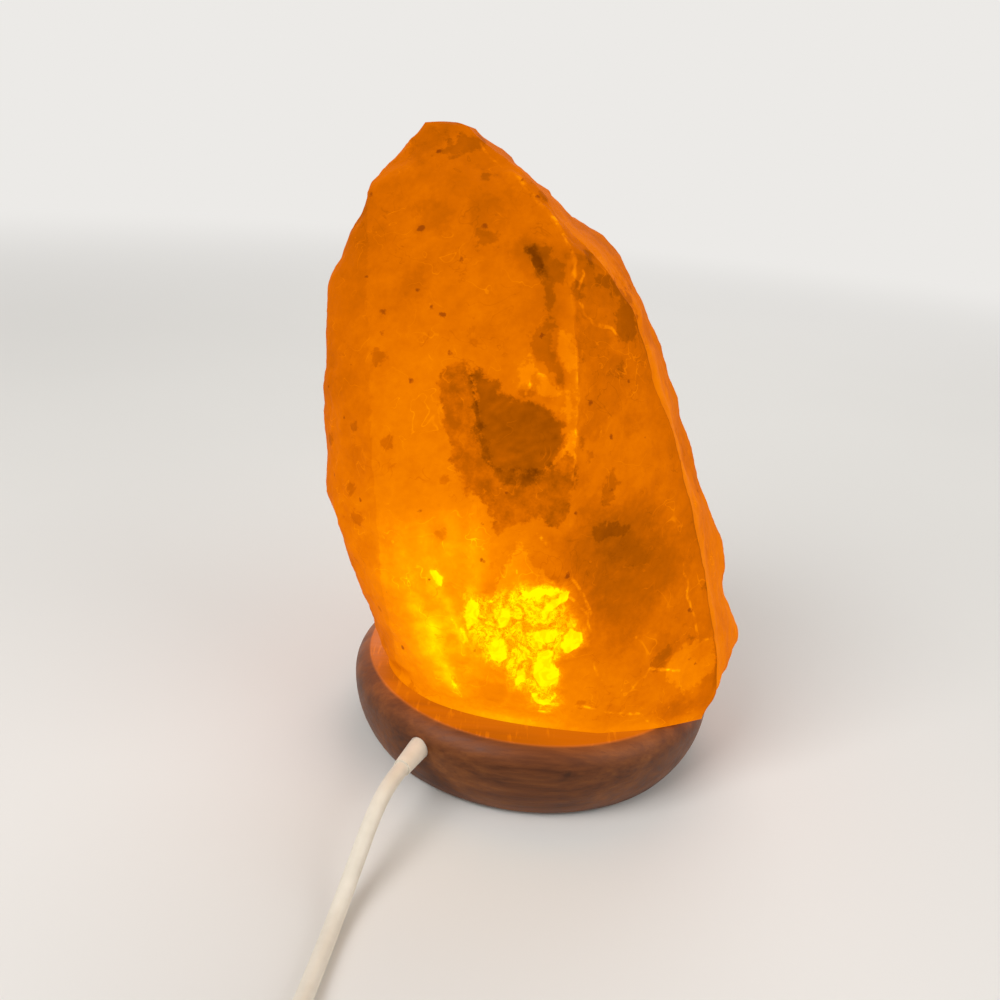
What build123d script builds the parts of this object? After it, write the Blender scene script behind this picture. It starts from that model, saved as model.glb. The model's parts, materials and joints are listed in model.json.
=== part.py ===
from build123d import *
from math import atan2, cos, degrees, dist, hypot, pi, radians, sin, sqrt, tan
import os

# Salt crystal lamp: a rough block of rock salt, bored from below for a small bulb, on a turned wooden base.
# Millimetres, +Z up. The origin is on the table, on the axis of the base; -Y is the front.

# ---- clearances ----------------------------------------------------------------------------------------------
seat_gap = 0.1  # between pieces that are fixed to each other
moving_gap = 0.3  # between pieces that move past each other
cut_over = 1.0  # a cut runs this far past the face that it opens

# ---- wooden base ---------------------------------------------------------------------------------------------
base_height = 27.0
base_side_radius = 65.5  # widest line of the rounded side
base_rim_inset = 5.5  # of the crisp upper rim, in from the widest line
base_foot_inset = 6.0  # of the underside's edge, in from the widest line
base_widest_drop = 8.2  # of the widest line, below the top
base_rim_round = 0.7
holder_bore_radius = 24.0

# ---- pads under the base -------------------------------------------------------------------------------------
pad_radius = 7.0
pad_thickness = 2.5
pad_seat_depth = 0.5
pad_circle_radius = 48.0
pad_count = 4

base_bottom = pad_thickness - pad_seat_depth
base_top = base_bottom + base_height

# ---- salt crystal --------------------------------------------------------------------------------------------
# The crystal's outline at each height above the base: its left and right sides, the sharp ridge down its front,
# the edge of its right-hand bevel, and how far back it reaches. All are (x, y) places, except the last.
crystal_sections = (
    # height, left side,      right side,    front ridge,    bevel edge,     back
    (0.0, (-52.0, -8.0), (68.0, -6.0), (22.0, -50.5), (57.0, -37.0), 46.0),
    (9.0, (-57.5, -9.0), (78.0, 6.0), (13.0, -54.0), (62.0, -36.0), 49.0),
    (24.0, (-60.5, -10.0), (71.5, 8.0), (4.0, -56.0), (60.5, -33.0), 52.0),
    (45.0, (-68.8, -10.0), (65.5, 8.0), (3.0, -57.0), (54.5, -31.5), 54.0),
    (66.0, (-76.0, -10.0), (55.5, 8.0), (3.2, -55.5), (47.5, -30.0), 54.0),
    (90.0, (-78.5, -10.0), (44.5, 8.0), (3.6, -51.5), (38.8, -28.5), 52.0),
    (112.0, (-78.5, -10.0), (35.6, 7.0), (2.8, -46.0), (28.0, -27.0), 48.0),
    (134.0, (-77.0, -9.0), (24.0, 6.0), (-0.8, -38.0), (19.0, -25.5), 41.0),
    (150.0, (-71.0, -7.0), (13.0, 5.0), (-4.5, -32.0), (5.0, -25.5), 34.0),
    (157.0, (-67.5, -6.0), (-1.5, 4.0), (-9.0, -27.5), (-5.5, -22.5), 29.5),
    (166.0, (-64.0, -5.0), (-11.0, 3.0), (-15.5, -22.0), (-12.5, -18.0), 24.0),
    (176.0, (-55.5, -3.0), (-25.5, 1.0), (-30.0, -10.0), (-27.5, -7.5), 14.0),
    (181.5, (-50.0, -1.0), (-35.5, 0.0), (-40.0, -5.0), (-37.5, -3.5), 6.0),
)
crystal_squareness = 0.8  # below 1, the rounded sides bulge towards a square
crystal_face_bulge = 1.5  # of the flat right-hand face
front_points = 7  # corners from the left side round to the ridge
back_chips = (1.0, 0.96, 0.95, 1.0, 1.02, 0.97, 0.96, 1.02, 0.99, 0.94, 0.96)  # reach of each corner round the back
# Broad hollows where the salt has split away: middle as (x, y, height above the base), reach and depth. Where the
# depth is below 0, the salt swells out.
crystal_hollows = (
    ((-62.0, -33.0, 118.0), 24.0, 1.5),
    ((-35.0, -47.0, 92.0), 24.0, -1.1),
    ((-46.0, -24.0, 150.0), 22.0, 1.4),
    ((-52.0, -42.0, 58.0), 24.0, -1.1),
    ((-30.0, -52.0, 34.0), 22.0, 1.0),
    ((-50.0, -36.0, 14.0), 22.0, 1.4),
    ((-24.0, -28.0, 158.0), 18.0, -0.8),
    ((-68.0, -24.0, 84.0), 20.0, 1.2),
    ((22.0, -48.0, 60.0), 24.0, 1.5),
    ((16.0, -38.0, 104.0), 22.0, 1.2),
    ((38.0, -44.0, 20.0), 22.0, -0.9),
    ((10.0, -32.0, 135.0), 18.0, 1.0),
    ((60.0, -14.0, 40.0), 20.0, 1.5),
    ((42.0, -12.0, 84.0), 20.0, 1.4),
    ((54.0, 34.0, 28.0), 28.0, 2.4),
    ((32.0, 40.0, 72.0), 28.0, -1.6),
    ((16.0, 36.0, 110.0), 26.0, 2.2),
    ((-6.0, 26.0, 146.0), 22.0, 1.8),
    ((-8.0, 52.0, 46.0), 30.0, 2.4),
    ((-30.0, 50.0, 92.0), 28.0, -1.6),
    ((-34.0, 38.0, 130.0), 26.0, 2.4),
    ((-40.0, 20.0, 164.0), 20.0, 1.4),
    ((-56.0, 36.0, 44.0), 28.0, 2.0),
    ((-64.0, 30.0, 84.0), 26.0, -1.4),
    ((-62.0, 26.0, 122.0), 26.0, 2.2),
    ((12.0, 48.0, 10.0), 24.0, 1.6),
    ((-40.0, 42.0, 8.0), 24.0, 1.6),
)
crystal_bore_radius = 24.5
crystal_bore_depth = 72.0
drill_point_depth = 9.0

# ---- screws that hold the crystal to the base ----------------------------------------------------------------
screw_circle_radius = 38.0
screw_count = 3
screw_first_angle = 90.0
screw_shank_radius = 2.0
screw_head_radius = 3.8
screw_head_height = 2.4
screw_slot_width = 0.9
screw_slot_depth = 1.0
screw_grip = 16.0  # length inside the salt
screw_land = 18.0  # wood left between each recess and the top of the base
screw_recess_radius = 5.2
washer_radius = 4.6
washer_thickness = 0.8

# ---- mains cord ----------------------------------------------------------------------------------------------
cord_radius = 2.5
cord_exit_height = 19.5
cord_exit_angle = -124.1  # where the cord leaves the base's side, seen from above
cord_bore_skew = 14.0  # the side hole is drilled this far off the radius
cord_bore_overrun = 8.0  # the side hole runs on past that, until it is wholly open into the central bore
bush_radius = 3.6
bush_nose_radius = 2.9
bush_inside = 14.0
bush_outside = 12.0
core_radius = 0.95  # of the two insulated cores inside the cord
core_spacing = 2.9  # between the middles of the two cores at the end of the sheath
core_bare_run = 5.0  # of each core, straight on from the end of the sheath
core_wall_inset = 2.5  # of the cores' drop, inside the wall of the central bore
core_bend_radii = (3.0, 3.6)  # where each core turns down, and where it turns in to its terminal
core_grip = 1.0  # length of each core inside its terminal

# ---- lamp holder ---------------------------------------------------------------------------------------------
holder_bottom = 4.0
holder_radius = 13.5
holder_cap_height = 7.0
holder_cap_wall = 1.6
holder_cap_chamfer = 2.0
holder_spigot_radius = 10.0
holder_spigot_wall = 1.4
holder_spigot_height = 1.5
wire_slot_width = 9.0
wire_slot_inset = 2.0  # the slot starts this far inside the spigot's wall
holder_body_height = 31.0
holder_skirt_radius = 8.7  # inside of the upper part
holder_pocket_height = 5.0
holder_pocket_radius = 10.2
holder_flange_radius = 15.8
holder_flange_thickness = 1.6
holder_flange_height = 15.0  # of its lower face, above the bottom of the body
holder_ring_radius = 16.2
holder_ring_height = 5.0
ring_groove_count = 24
ring_groove_radius = 0.7
ring_groove_offset = 0.3  # of the grooves' middles outside the ring
insert_thickness = 3.4
clip_thickness = 0.8
clip_width = 8.0
clip_plate_radius = 17.2
clip_arm_root = 1.0  # each arm starts this far inside the plate's edge
clip_arm_angle = -52.0
clip_elbow_radius = 20.4
clip_reach = 23.2  # outermost line of the clip's arms, at the middle of the strip
clip_tip_radius = 19.6
clip_drop_to_reach = 7.0
clip_drop_to_tip = 18.0
clip_bend_radius = 2.0

# ---- screw shell, contacts and terminals ---------------------------------------------------------------------
thread_pitch = 2.82
thread_ribs = 5
shell_inner_radius = 7.25
shell_thickness = 0.35
thread_depth = 0.45
shell_plain_foot = 3.5  # below the shell's thread
shell_top_drop = 2.0  # of the shell's edge below the top of the holder
shell_lip_reach = 1.0  # of the arm that joins the shell to its leg, past the lip's hole
contact_thickness = 0.4
contact_width = 3.6
tongue_bend = (-1.0, 1.6)  # where the contact's tongue leaves the insert, and where it meets the bulb's tip
terminal_length = 5.0
terminal_width = 4.6
terminal_height = 5.8
terminal_offset = 3.0  # of each terminal from the holder's middle plane
terminal_hole_radius = 1.6
terminal_screw_radius = 1.25
terminal_screw_head_radius = 1.9
terminal_screw_head_height = 0.45
terminal_axis_drop = 0.8  # of the wire holes below the middles of the blocks

# ---- bulb ----------------------------------------------------------------------------------------------------
bulb_tip_height = 17.5
bulb_radius = 12.5
bulb_length = 52.5
bulb_neck_radius = 5.9
bulb_glass_thickness = 0.7
bulb_neck_depth = 7.0  # of the glass inside its cap
bulb_neck_rise = 1.0  # of the neck above its cap, before it flares
bulb_shoulder_swell = 0.9  # of the flare's middle past a straight line
cap_crest_radius = 6.95
cap_wall = 0.35
cap_length = 17.0
cap_flare_radius = 6.7  # of the collar's edge
cap_lip_width = 1.4  # of the turned-in foot, inside the insulator's radius
tip_contact_radius = 2.4
tip_contact_height = 0.9
insulator_height = 3.2
insulator_radius = 5.4
insulator_play = 0.3  # between the insulator and the radius kept free for it
insulator_foot_step = 0.6  # of the insulator's foot outside the tip contact
tip_contact_chamfer = 0.7  # radius of the tip contact's lower face, as a share
stem_radius = 2.0
stem_drop = 6.0  # of the stem's top below the middle of the globe
stem_flare_height = 1.2
stem_taper_height = 5.0
filament_half_span = 5.0
filament_radius = 0.25
filament_rise = 3.0
lead_radius = 0.35
lead_foot_rise = 1.5
lead_bend_radius = 0.8

# ---- cord's route over the table -----------------------------------------------------------------------------
# Each list is chosen by hand. The ends meet the bush, the switch, the coil and the plug.
cord_lead_route = (
    (-43.93, -73.95, 19.5),
    (-46.9, -84.8, 16.0),
    (-49.3, -95.4, 10.3),
    (-51.5, -106.2, 5.2),
    (-53.1, -117.4, 2.7),
    (-54.6, -130.2, 2.5),
    (-56.0, -142.6, 2.6),
    (-56.8, -152.4, 5.4),
    (-57.0, -161.5, 8.2),
)
cord_link_route = (
    (-57.0, -238.8, 8.2),
    (-54.3, -247.2, 7.8),
    (-49.1, -254.4, 7.0),
    (-42.0, -259.6, 6.0),
    (-33.6, -262.4, 4.9),
    (-24.0, -262.9, 4.0),
    (-13.5, -262.3, 3.4),
)
cord_tail_route = (
    (13.5, -262.3, 8.9),
    (22.0, -263.9, 8.1),
    (30.5, -265.0, 7.0),
)
run_share = 0.45  # share of the shorter run that an arc at a corner takes up

# ---- coil of spare cord --------------------------------------------------------------------------------------
coil_centre = (1.5, -222.0)
coil_inner_radius = 18.3
coil_pitch = 5.5  # from each turn to the next beside it
coil_layer_rise = 5.5
coil_turns_per_layer = 4.0
coil_climb_turns = 0.5  # the cord climbs to the upper layer in the innermost half turn
coil_start_angle = -90.0
tie_thickness = 0.8
tie_width = 8.0
tie_slack = (0.8, 0.4)  # inside each band, past the coil's inner and outer turns
tie_angles = (45.0, 165.0)
coil_outer_radius = coil_inner_radius + coil_pitch * coil_turns_per_layer
coil_low_height = cord_radius + tie_thickness + seat_gap

# ---- switch on the cord --------------------------------------------------------------------------------------
switch_centre = (-57.0, -200.0)
switch_length = 60.0
switch_width = 24.0
switch_height = 16.4
switch_wall = 2.0
switch_corner_radius = 8.0
switch_edge_round = 1.6
rocker_length = 14.4
rocker_width = 9.0
rocker_rise = 2.4  # of the rocker's middle above the cover
rocker_tilt = 7.0
rocker_pin_radius = 1.0
rocker_pin_depth = 3.6  # of the pin's axis below the top of the cover
rocker_end_gap = 1.0
rocker_side_gap = 0.5
rocker_foot = ((2.0, 2.2), (0.8, 4.2))  # half width and depth below the pin, at the foot's root and its tip
rocker_edge_depth = 1.0  # of the rocker's ends below its pin
rocker_end_drop = 0.4  # of the rocker's raised ends, and of its valley, below its crown
rocker_valley_drop = 1.8
rocker_edge_round = 0.8
rocker_pin_fit = 0.05
window_depth = 3.0  # of the rocker's window below the pin
switch_lug_thickness = 2.0
switch_lug_length = 6.0
switch_lug_drop = 2.4  # of the lugs below the pin
switch_screw_offset = 22.0
switch_screw_radius = 1.4
switch_screw_head_radius = 2.6
switch_screw_head_height = 1.6
switch_screw_slot = (0.7, 0.7)  # width and depth
switch_screw_seat = 3.0  # of the screw's seat below the case's joint, and of its hole's end below the top
switch_screw_tip_gap = 0.2
switch_pillar_wall = 1.0
switch_contact_offset = 9.0
switch_contact_spread = 4.0
switch_contact_size = (6.0, 4.0, 4.6)
switch_contact_screw = (1.2, 0.8)  # radius and height
joint_sink = 0.1  # where one part of the case grows out of another

# ---- plug ----------------------------------------------------------------------------------------------------
plug_start = (38.0, -265.0)
plug_relief_length = 20.0
plug_relief_radius = 3.4
plug_relief_flare = 1.5  # of the relief's radius, from the cord to the plug
plug_relief_grooves = 4
plug_groove_width = 1.4
plug_groove_core = 3.0
plug_neck_step = 1.5  # of the grip's neck outside the relief's start
plug_shoulder_length = 9.0
plug_body_length = 23.0
plug_width = 25.0
plug_thickness = 13.8
plug_face_width = 25.0
plug_edge_radius = 5.5
plug_pin_radius = 2.0
plug_pin_length = 19.0
plug_pin_spacing = 18.6
plug_pin_core_radius = 1.5
plug_pin_tip_chamfer = 0.8
plug_sleeve_length = 10.0
plug_pin_grip = 8.0  # length inside the plug's body
plug_axis_height = plug_thickness / 2 + seat_gap


# ---- helpers -------------------------------------------------------------------------------------------------
def save(name, *solids):
    """Write one node: a single solid, or a group of separate solids."""
    shape = solids[0] if len(solids) == 1 else Compound(children=list(solids))
    export_step(shape, f"parts/{name}.step")


def turned(*profile):
    """A solid of revolution about the Z axis, from a straight-sided outline of (radius, height) points."""
    return revolve(Plane.XZ * make_face(Polyline(*profile, close=True)), Axis.Z)


def ring(inner, outer, bottom, top):
    """A plain ring or sleeve about the Z axis."""
    return turned((inner, bottom), (outer, bottom), (outer, top), (inner, top))


def rod(radius, bottom, top):
    """A plain cylinder along the Z axis."""
    return Pos(0, 0, bottom) * Cylinder(radius, top - bottom, align=(Align.CENTER, Align.CENTER, Align.MIN))


def block(length, width, bottom, top):
    """A box centred on the Z axis."""
    return Pos(0, 0, bottom) * Box(length, width, top - bottom, align=(Align.CENTER, Align.CENTER, Align.MIN))


def around(radius, count, first_angle=0.0):
    """Places evenly spaced on a circle about the Z axis."""
    angles = [first_angle + 360 * k / count for k in range(count)]
    return [Rot(0, 0, a) * Pos(radius, 0, 0) for a in angles]


def tube(radius, path):
    """A round tube along a path of lines and arcs."""
    wire = path if isinstance(path, Wire) else Wire(path.edges())
    start = Plane(origin=wire @ 0, z_dir=wire % 0)
    return sweep(start * Circle(radius), path=wire)


def corner_radii(points, least):
    """The largest arc at each corner that its two runs have room for."""
    corners = [Vector(p) for p in points]
    radii = []
    for before, corner, after in zip(corners, corners[1:], corners[2:]):
        run_in, run_out = corner - before, after - corner
        turn = radians(run_in.get_angle(run_out))
        radii.append(run_share * min(run_in.length, run_out.length) / tan(turn / 2))
    assert min(radii) > least, f"an arc of the cord is tighter than {least}"
    return radii


def free_cord(name, points):
    """A stretch of cord along runs joined by arcs. Prints its arcs, and its volume beside section times length."""
    radii = corner_radii(points, 3 * cord_radius)
    path = Wire(FilletPolyline(*points, radius=radii).edges())
    solid = tube(cord_radius, path)
    expected = pi * cord_radius**2 * path.length
    print(name, "length", round(path.length, 1), "radii", [round(r) for r in radii])
    print(name, "volume", round(solid.volume), "section times length", round(expected))
    return solid, path.length


def biarc(start, start_way, end, end_way):
    """Two arcs that leave one point along a direction and reach another along a second direction."""
    span, ways = end - start, start_way + end_way
    spread = 2 * (1 - start_way.dot(end_way))
    reach = (sqrt(span.dot(ways) ** 2 + spread * span.dot(span)) - span.dot(ways)) / spread
    joint = (start + start_way * reach + end - end_way * reach) * 0.5
    first = Edge.make_tangent_arc(start, start_way, joint)
    second = Edge.make_tangent_arc(joint, first % 1, end)
    return [first, second]


# ---- crystal and base ----------------------------------------------------------------------------------------
def hollow_depth(x, y, height):
    """How far a place on the outside goes in: most at a hollow's middle, and nothing past its reach."""
    shares = [(dist((x, y, height), middle) / reach, depth) for middle, reach, depth in crystal_hollows]
    return sum(depth * max(0, 1 - share**2) for share, depth in shares)


def crystal_ring(height, left, right, ridge, bevel, back):
    """Corners of the crystal's outline at one height, anticlockwise from above, starting at its left side."""
    corners = []
    for k in range(front_points):
        turn = radians(90 * k / front_points)
        across, forward = cos(turn) ** crystal_squareness, sin(turn) ** crystal_squareness
        corners.append((ridge[0] + (left[0] - ridge[0]) * across, left[1] + (ridge[1] - left[1]) * forward))
    face = (bevel[0] - ridge[0], bevel[1] - ridge[1])
    bulge = crystal_face_bulge / hypot(*face)
    middle = ((ridge[0] + bevel[0]) / 2 + face[1] * bulge, (ridge[1] + bevel[1]) / 2 - face[0] * bulge)
    corners += [ridge, middle, bevel]
    centre = (left[0] + right[0]) / 2
    for k, reach in enumerate(back_chips):
        turn = radians(180 * k / len(back_chips))
        side = right if k < len(back_chips) / 2 else left
        across = abs(cos(turn)) ** crystal_squareness
        backward = sin(turn) ** crystal_squareness
        x = centre + (side[0] - centre) * across * reach
        corners.append((x, side[1] + (back - side[1]) * backward * reach))
    points = []
    for x, y in corners:
        keep = 1 - hollow_depth(x, y, height) / hypot(x - centre, y)
        points.append((centre + (x - centre) * keep, y * keep, base_top + height))
    return points


def screw_places():
    return around(screw_circle_radius, screw_count, screw_first_angle)


def salt_crystal():
    """Rough block of triangular facets between its sections, bored from below for the bulb."""
    rings = [crystal_ring(*section) for section in crystal_sections]
    count = len(rings[0])
    faces = [
        make_face(Polyline(*reversed(rings[0]), close=True)),
        make_face(Polyline(*rings[-1], close=True)),
    ]
    for level, (low, high) in enumerate(zip(rings, rings[1:])):
        for k in range(count):
            a, b, c, d = low[k], low[(k + 1) % count], high[(k + 1) % count], high[k]
            halves = ((a, b, c), (a, c, d)) if (level + k) % 2 else ((a, b, d), (b, c, d))
            faces += [make_face(Polyline(*half, close=True)) for half in halves]
    block_of_salt = Solid(Shell([face.face() for face in faces]))
    bore_top = base_top + crystal_bore_depth
    bore = turned(
        (0, base_top - cut_over),
        (crystal_bore_radius, base_top - cut_over),
        (crystal_bore_radius, bore_top),
        (0, bore_top + drill_point_depth),
    )
    pilot = rod(screw_shank_radius + seat_gap, base_top - cut_over, base_top + screw_grip + seat_gap)
    return block_of_salt - bore - [place * pilot for place in screw_places()]


def cord_exit():
    """The plane of the side hole where it leaves the base: its Z axis points out along the cord."""
    angle, heading = radians(cord_exit_angle), radians(cord_exit_angle + cord_bore_skew)
    origin = (base_side_radius * cos(angle), base_side_radius * sin(angle), cord_exit_height)
    return Plane(origin=origin, x_dir=(-sin(heading), cos(heading), 0), z_dir=(cos(heading), sin(heading), 0))


def sheath_reach():
    """From the base's side in to the end of the cord's sheath, so that the cores drop just inside the bore."""
    skew, drop_radius = radians(cord_bore_skew), holder_bore_radius - core_wall_inset
    drop = base_side_radius * cos(skew) - sqrt(drop_radius**2 - (base_side_radius * sin(skew)) ** 2)
    return drop - core_bare_run


def base_side():
    """The base's rounded side: two arcs that meet upright at its widest line."""
    widest = base_top - base_widest_drop
    points = []
    for inset, edge_height in ((base_foot_inset, base_bottom), (base_rim_inset, base_top)):
        rise = edge_height - widest
        radius = (inset**2 + rise**2) / (2 * inset)
        half_turn = atan2(rise, radius - inset) / 2
        centre = base_side_radius - radius
        middle = (centre + radius * cos(half_turn), widest + radius * sin(half_turn))
        points.append(((base_side_radius - inset, edge_height), middle))
    (foot, low_middle), (rim, high_middle) = points
    side = (base_side_radius, widest)
    return foot, rim, ThreePointArc(foot, low_middle, side) + ThreePointArc(side, high_middle, rim)


def wooden_base():
    """Turned disc with a through bore, a side hole for the cord, seats for its pads and recesses for screws."""
    foot, rim, side = base_side()
    inner = ((holder_bore_radius, rim[1]), (holder_bore_radius, foot[1]))
    outline = side + Polyline(rim, *inner, foot)
    wood = revolve(Plane.XZ * make_face(outline), Axis.Z)
    rim_edges = wood.edges().filter_by(GeomType.CIRCLE).group_by(Axis.Z)[-1]
    wood = fillet(rim_edges.sort_by(SortBy.RADIUS)[-1], base_rim_round)
    wood -= cord_exit() * rod(bush_radius + seat_gap, -sheath_reach() - cord_bore_overrun, bush_outside)
    seat = rod(pad_radius + seat_gap, base_bottom - cut_over, base_bottom + pad_seat_depth)
    wood -= [place * seat for place in around(pad_circle_radius, pad_count, 180 / pad_count)]
    recess = rod(screw_recess_radius, base_bottom - cut_over, base_top - screw_land)
    hole = rod(screw_shank_radius + seat_gap, base_bottom, base_top + cut_over)
    return wood - [place * recess for place in screw_places()] - [place * hole for place in screw_places()]


def foot_pads():
    pad = rod(pad_radius, 0, pad_thickness)
    return [place * pad for place in around(pad_circle_radius, pad_count, 180 / pad_count)]


def crystal_screws():
    """Slotted screws, driven up through the base into the salt, each with its washer."""
    ceiling = base_top - screw_land
    seat = ceiling - washer_thickness
    head_bottom = seat - screw_head_height
    screw = rod(screw_shank_radius, seat, base_top + screw_grip) + rod(screw_head_radius, head_bottom, seat)
    slot_length = 2 * (screw_head_radius + cut_over)
    slot = block(slot_length, screw_slot_width, head_bottom - cut_over, head_bottom + screw_slot_depth)
    washer = ring(screw_shank_radius + seat_gap, washer_radius, seat, ceiling)
    return [place * (screw - slot) for place in screw_places()], [place * washer for place in screw_places()]


# ---- cord inside the base ------------------------------------------------------------------------------------
def cord_bush():
    """Sleeve that grips the cord in the side hole, with a tapered nose outside."""
    inner = cord_radius + seat_gap
    profile = ((inner, -bush_inside), (bush_radius, -bush_inside), (bush_radius, 0))
    return cord_exit() * turned(*profile, (bush_nose_radius, bush_outside), (inner, bush_outside))


def cord_entry():
    """The sheathed cord from the tip of the bush to just inside the central bore."""
    return cord_exit() * rod(cord_radius, -sheath_reach(), bush_outside)


def core_wires():
    """The two cores, bent down beside the holder and in through the slot in its cap to the terminals."""
    plane = cord_exit()
    start = plane.origin - plane.z_dir * sheath_reach()
    turn_down = start - plane.z_dir * core_bare_run
    inward = Vector(-turn_down.X, -turn_down.Y, 0).normalized()
    low = Vector(turn_down.X, turn_down.Y, terminal_axis_height())
    end = Vector(0, 0, terminal_axis_height()) - inward * (terminal_length - core_grip)
    across = Vector(-inward.Y, inward.X, 0)
    wires = []
    for side in (-1, 1):
        near = plane.x_dir * (-side * core_spacing / 2)
        far = across * (side * terminal_offset)
        points = [start + near, turn_down + near, low + near, end + far]
        wires.append(tube(core_radius, FilletPolyline(*points, radius=list(core_bend_radii))))
    return wires


def wire_entry_angle():
    """Where the cores enter the holder's cap, seen from above."""
    plane = cord_exit()
    point = plane.origin - plane.z_dir * (sheath_reach() + core_bare_run)
    return degrees(atan2(point.Y, point.X))


# ---- lamp holder ---------------------------------------------------------------------------------------------
body_bottom = holder_bottom + holder_cap_height
body_top = body_bottom + holder_body_height
pocket_top = body_bottom + holder_pocket_height
flange_bottom = body_bottom + holder_flange_height
clip_plate_bottom = flange_bottom - clip_thickness
insert_bottom = body_bottom + holder_spigot_height + seat_gap
insert_top = insert_bottom + insert_thickness


def terminal_axis_height():
    return insert_bottom - seat_gap - terminal_height / 2 - terminal_axis_drop


def holder_cap():
    """Lower cup of the holder: closes the terminals in, and holds the insert up on its spigot."""
    inner = holder_radius - holder_cap_wall
    cup = turned(
        (0, holder_bottom),
        (holder_radius - holder_cap_chamfer, holder_bottom),
        (holder_radius, holder_bottom + holder_cap_chamfer),
        (holder_radius, body_bottom),
        (holder_spigot_radius, body_bottom),
        (holder_spigot_radius, body_bottom + holder_spigot_height),
        (holder_spigot_radius - holder_spigot_wall, body_bottom + holder_spigot_height),
        (holder_spigot_radius - holder_spigot_wall, body_bottom - holder_cap_wall),
        (inner, body_bottom - holder_cap_wall),
        (inner, holder_bottom + holder_cap_wall),
        (0, holder_bottom + holder_cap_wall),
    )
    slot_half_height = core_radius + moving_gap
    axis = terminal_axis_height()
    slot = block(2 * holder_radius, wire_slot_width, axis - slot_half_height, axis + slot_half_height)
    slot = Pos(holder_spigot_radius - holder_spigot_wall - wire_slot_inset + holder_radius, 0, 0) * slot
    return cup - Rot(0, 0, wire_entry_angle()) * slot


def holder_body():
    """Upper cup of the holder: a skirt round the screw shell, a pocket for the insert and a flange."""
    return turned(
        (holder_pocket_radius, body_bottom),
        (holder_radius, body_bottom),
        (holder_radius, flange_bottom),
        (holder_flange_radius, flange_bottom),
        (holder_flange_radius, flange_bottom + holder_flange_thickness),
        (holder_radius, flange_bottom + holder_flange_thickness),
        (holder_radius, body_top),
        (holder_skirt_radius, body_top),
        (holder_skirt_radius, pocket_top),
        (holder_pocket_radius, pocket_top),
    )


def holder_ring():
    """Grooved nut that clamps the spring clip up against the flange."""
    top = clip_plate_bottom
    bottom = top - holder_ring_height
    nut = ring(holder_radius + seat_gap, holder_ring_radius, bottom, top)
    groove = rod(ring_groove_radius, bottom - cut_over, top + cut_over)
    places = around(holder_ring_radius + ring_groove_offset, ring_groove_count)
    return nut - [place * groove for place in places]


def spring_clip():
    """Spring-steel ring with two arms that bow out to the wall of the bore."""
    plate = ring(holder_radius + seat_gap, clip_plate_radius, clip_plate_bottom, flange_bottom)
    middle = clip_plate_bottom + clip_thickness / 2
    path = FilletPolyline(
        (clip_plate_radius - clip_arm_root, 0, middle),
        (clip_elbow_radius, 0, middle),
        (clip_reach, 0, middle - clip_drop_to_reach),
        (clip_tip_radius, 0, middle - clip_drop_to_tip),
        radius=clip_bend_radius,
    )
    start = Plane(origin=path @ 0, x_dir=(0, 1, 0), z_dir=path % 0)
    arm = sweep(start * Rectangle(clip_width, clip_thickness), path=path)
    return plate + [Rot(0, 0, clip_arm_angle + turn) * arm for turn in (0, 180)]


def holder_insert():
    """Insulating disc that carries the contacts, slotted for their legs."""
    disc = rod(holder_pocket_radius - seat_gap, insert_bottom, insert_top)
    thickness, width = contact_thickness + 2 * seat_gap, contact_width + 2 * seat_gap
    slot = block(thickness, width, insert_bottom - cut_over, insert_top + cut_over)
    frame = Rot(0, 0, wire_entry_angle())
    return disc - [frame * Pos(0, side * terminal_offset, 0) * slot for side in (-1, 1)]


def ribbed(inner, wall, bottom):
    """A rolled screw thread, left as rounded ribs: the wall steps in and out along the height."""
    heights = [bottom + thread_pitch * k / 4 for k in range(4 * thread_ribs + 1)]
    wave = [thread_depth * (0.5 - 0.5 * cos(pi * k / 2)) for k in range(4 * thread_ribs + 1)]
    inside = [(inner + w, h) for w, h in zip(wave, heights)]
    outside = [(inner + wall + w, h) for w, h in zip(wave, heights)]
    return turned(*inside, *reversed(outside))


def screw_shell():
    """Brass shell that the bulb's cap screws into, with a lip on the insert and a leg to its terminal."""
    bottom = insert_top + seat_gap
    outer = shell_inner_radius + shell_thickness
    lip_top = bottom + shell_thickness
    lip = ring(insulator_radius + moving_gap, outer, bottom, lip_top)
    rib_bottom = bottom + shell_plain_foot
    rib_top = rib_bottom + thread_pitch * thread_ribs
    sleeve = ring(shell_inner_radius, outer, lip_top, rib_bottom)
    collar = ring(shell_inner_radius, outer, rib_top, body_top - shell_top_drop)
    leg = Pos(0, terminal_offset, 0) * block(
        contact_thickness, contact_width, insert_bottom - seat_gap, lip_top
    )
    arm_end = insulator_radius + shell_lip_reach
    arm = block(contact_thickness, arm_end - terminal_offset, bottom, lip_top)
    arm = Pos(0, (terminal_offset + arm_end) / 2, 0) * arm
    shell = lip + sleeve + ribbed(shell_inner_radius, shell_thickness, rib_bottom) + collar
    return shell + Rot(0, 0, wire_entry_angle()) * (leg + arm)


def centre_contact():
    """Bent brass strip: its leg goes down to a terminal and its tongue springs up under the bulb's tip."""
    bottom = insert_top + seat_gap
    half = contact_width / 2
    top = bulb_tip_height - seat_gap
    foot_end, tip_end = tongue_bend
    outline = Polyline(
        (-terminal_offset - half, bottom),
        (foot_end, bottom),
        (tip_end, top - contact_thickness),
        (tip_end, top),
        (foot_end - contact_thickness / 2, bottom + contact_thickness),
        (-terminal_offset - half, bottom + contact_thickness),
        close=True,
    )
    tongue = extrude(Plane.YZ * make_face(outline), amount=contact_width / 4, both=True)
    leg = Pos(0, -terminal_offset, 0) * block(
        contact_thickness, contact_width, insert_bottom - seat_gap, bottom + contact_thickness
    )
    return Rot(0, 0, wire_entry_angle()) * (tongue + leg)


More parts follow.
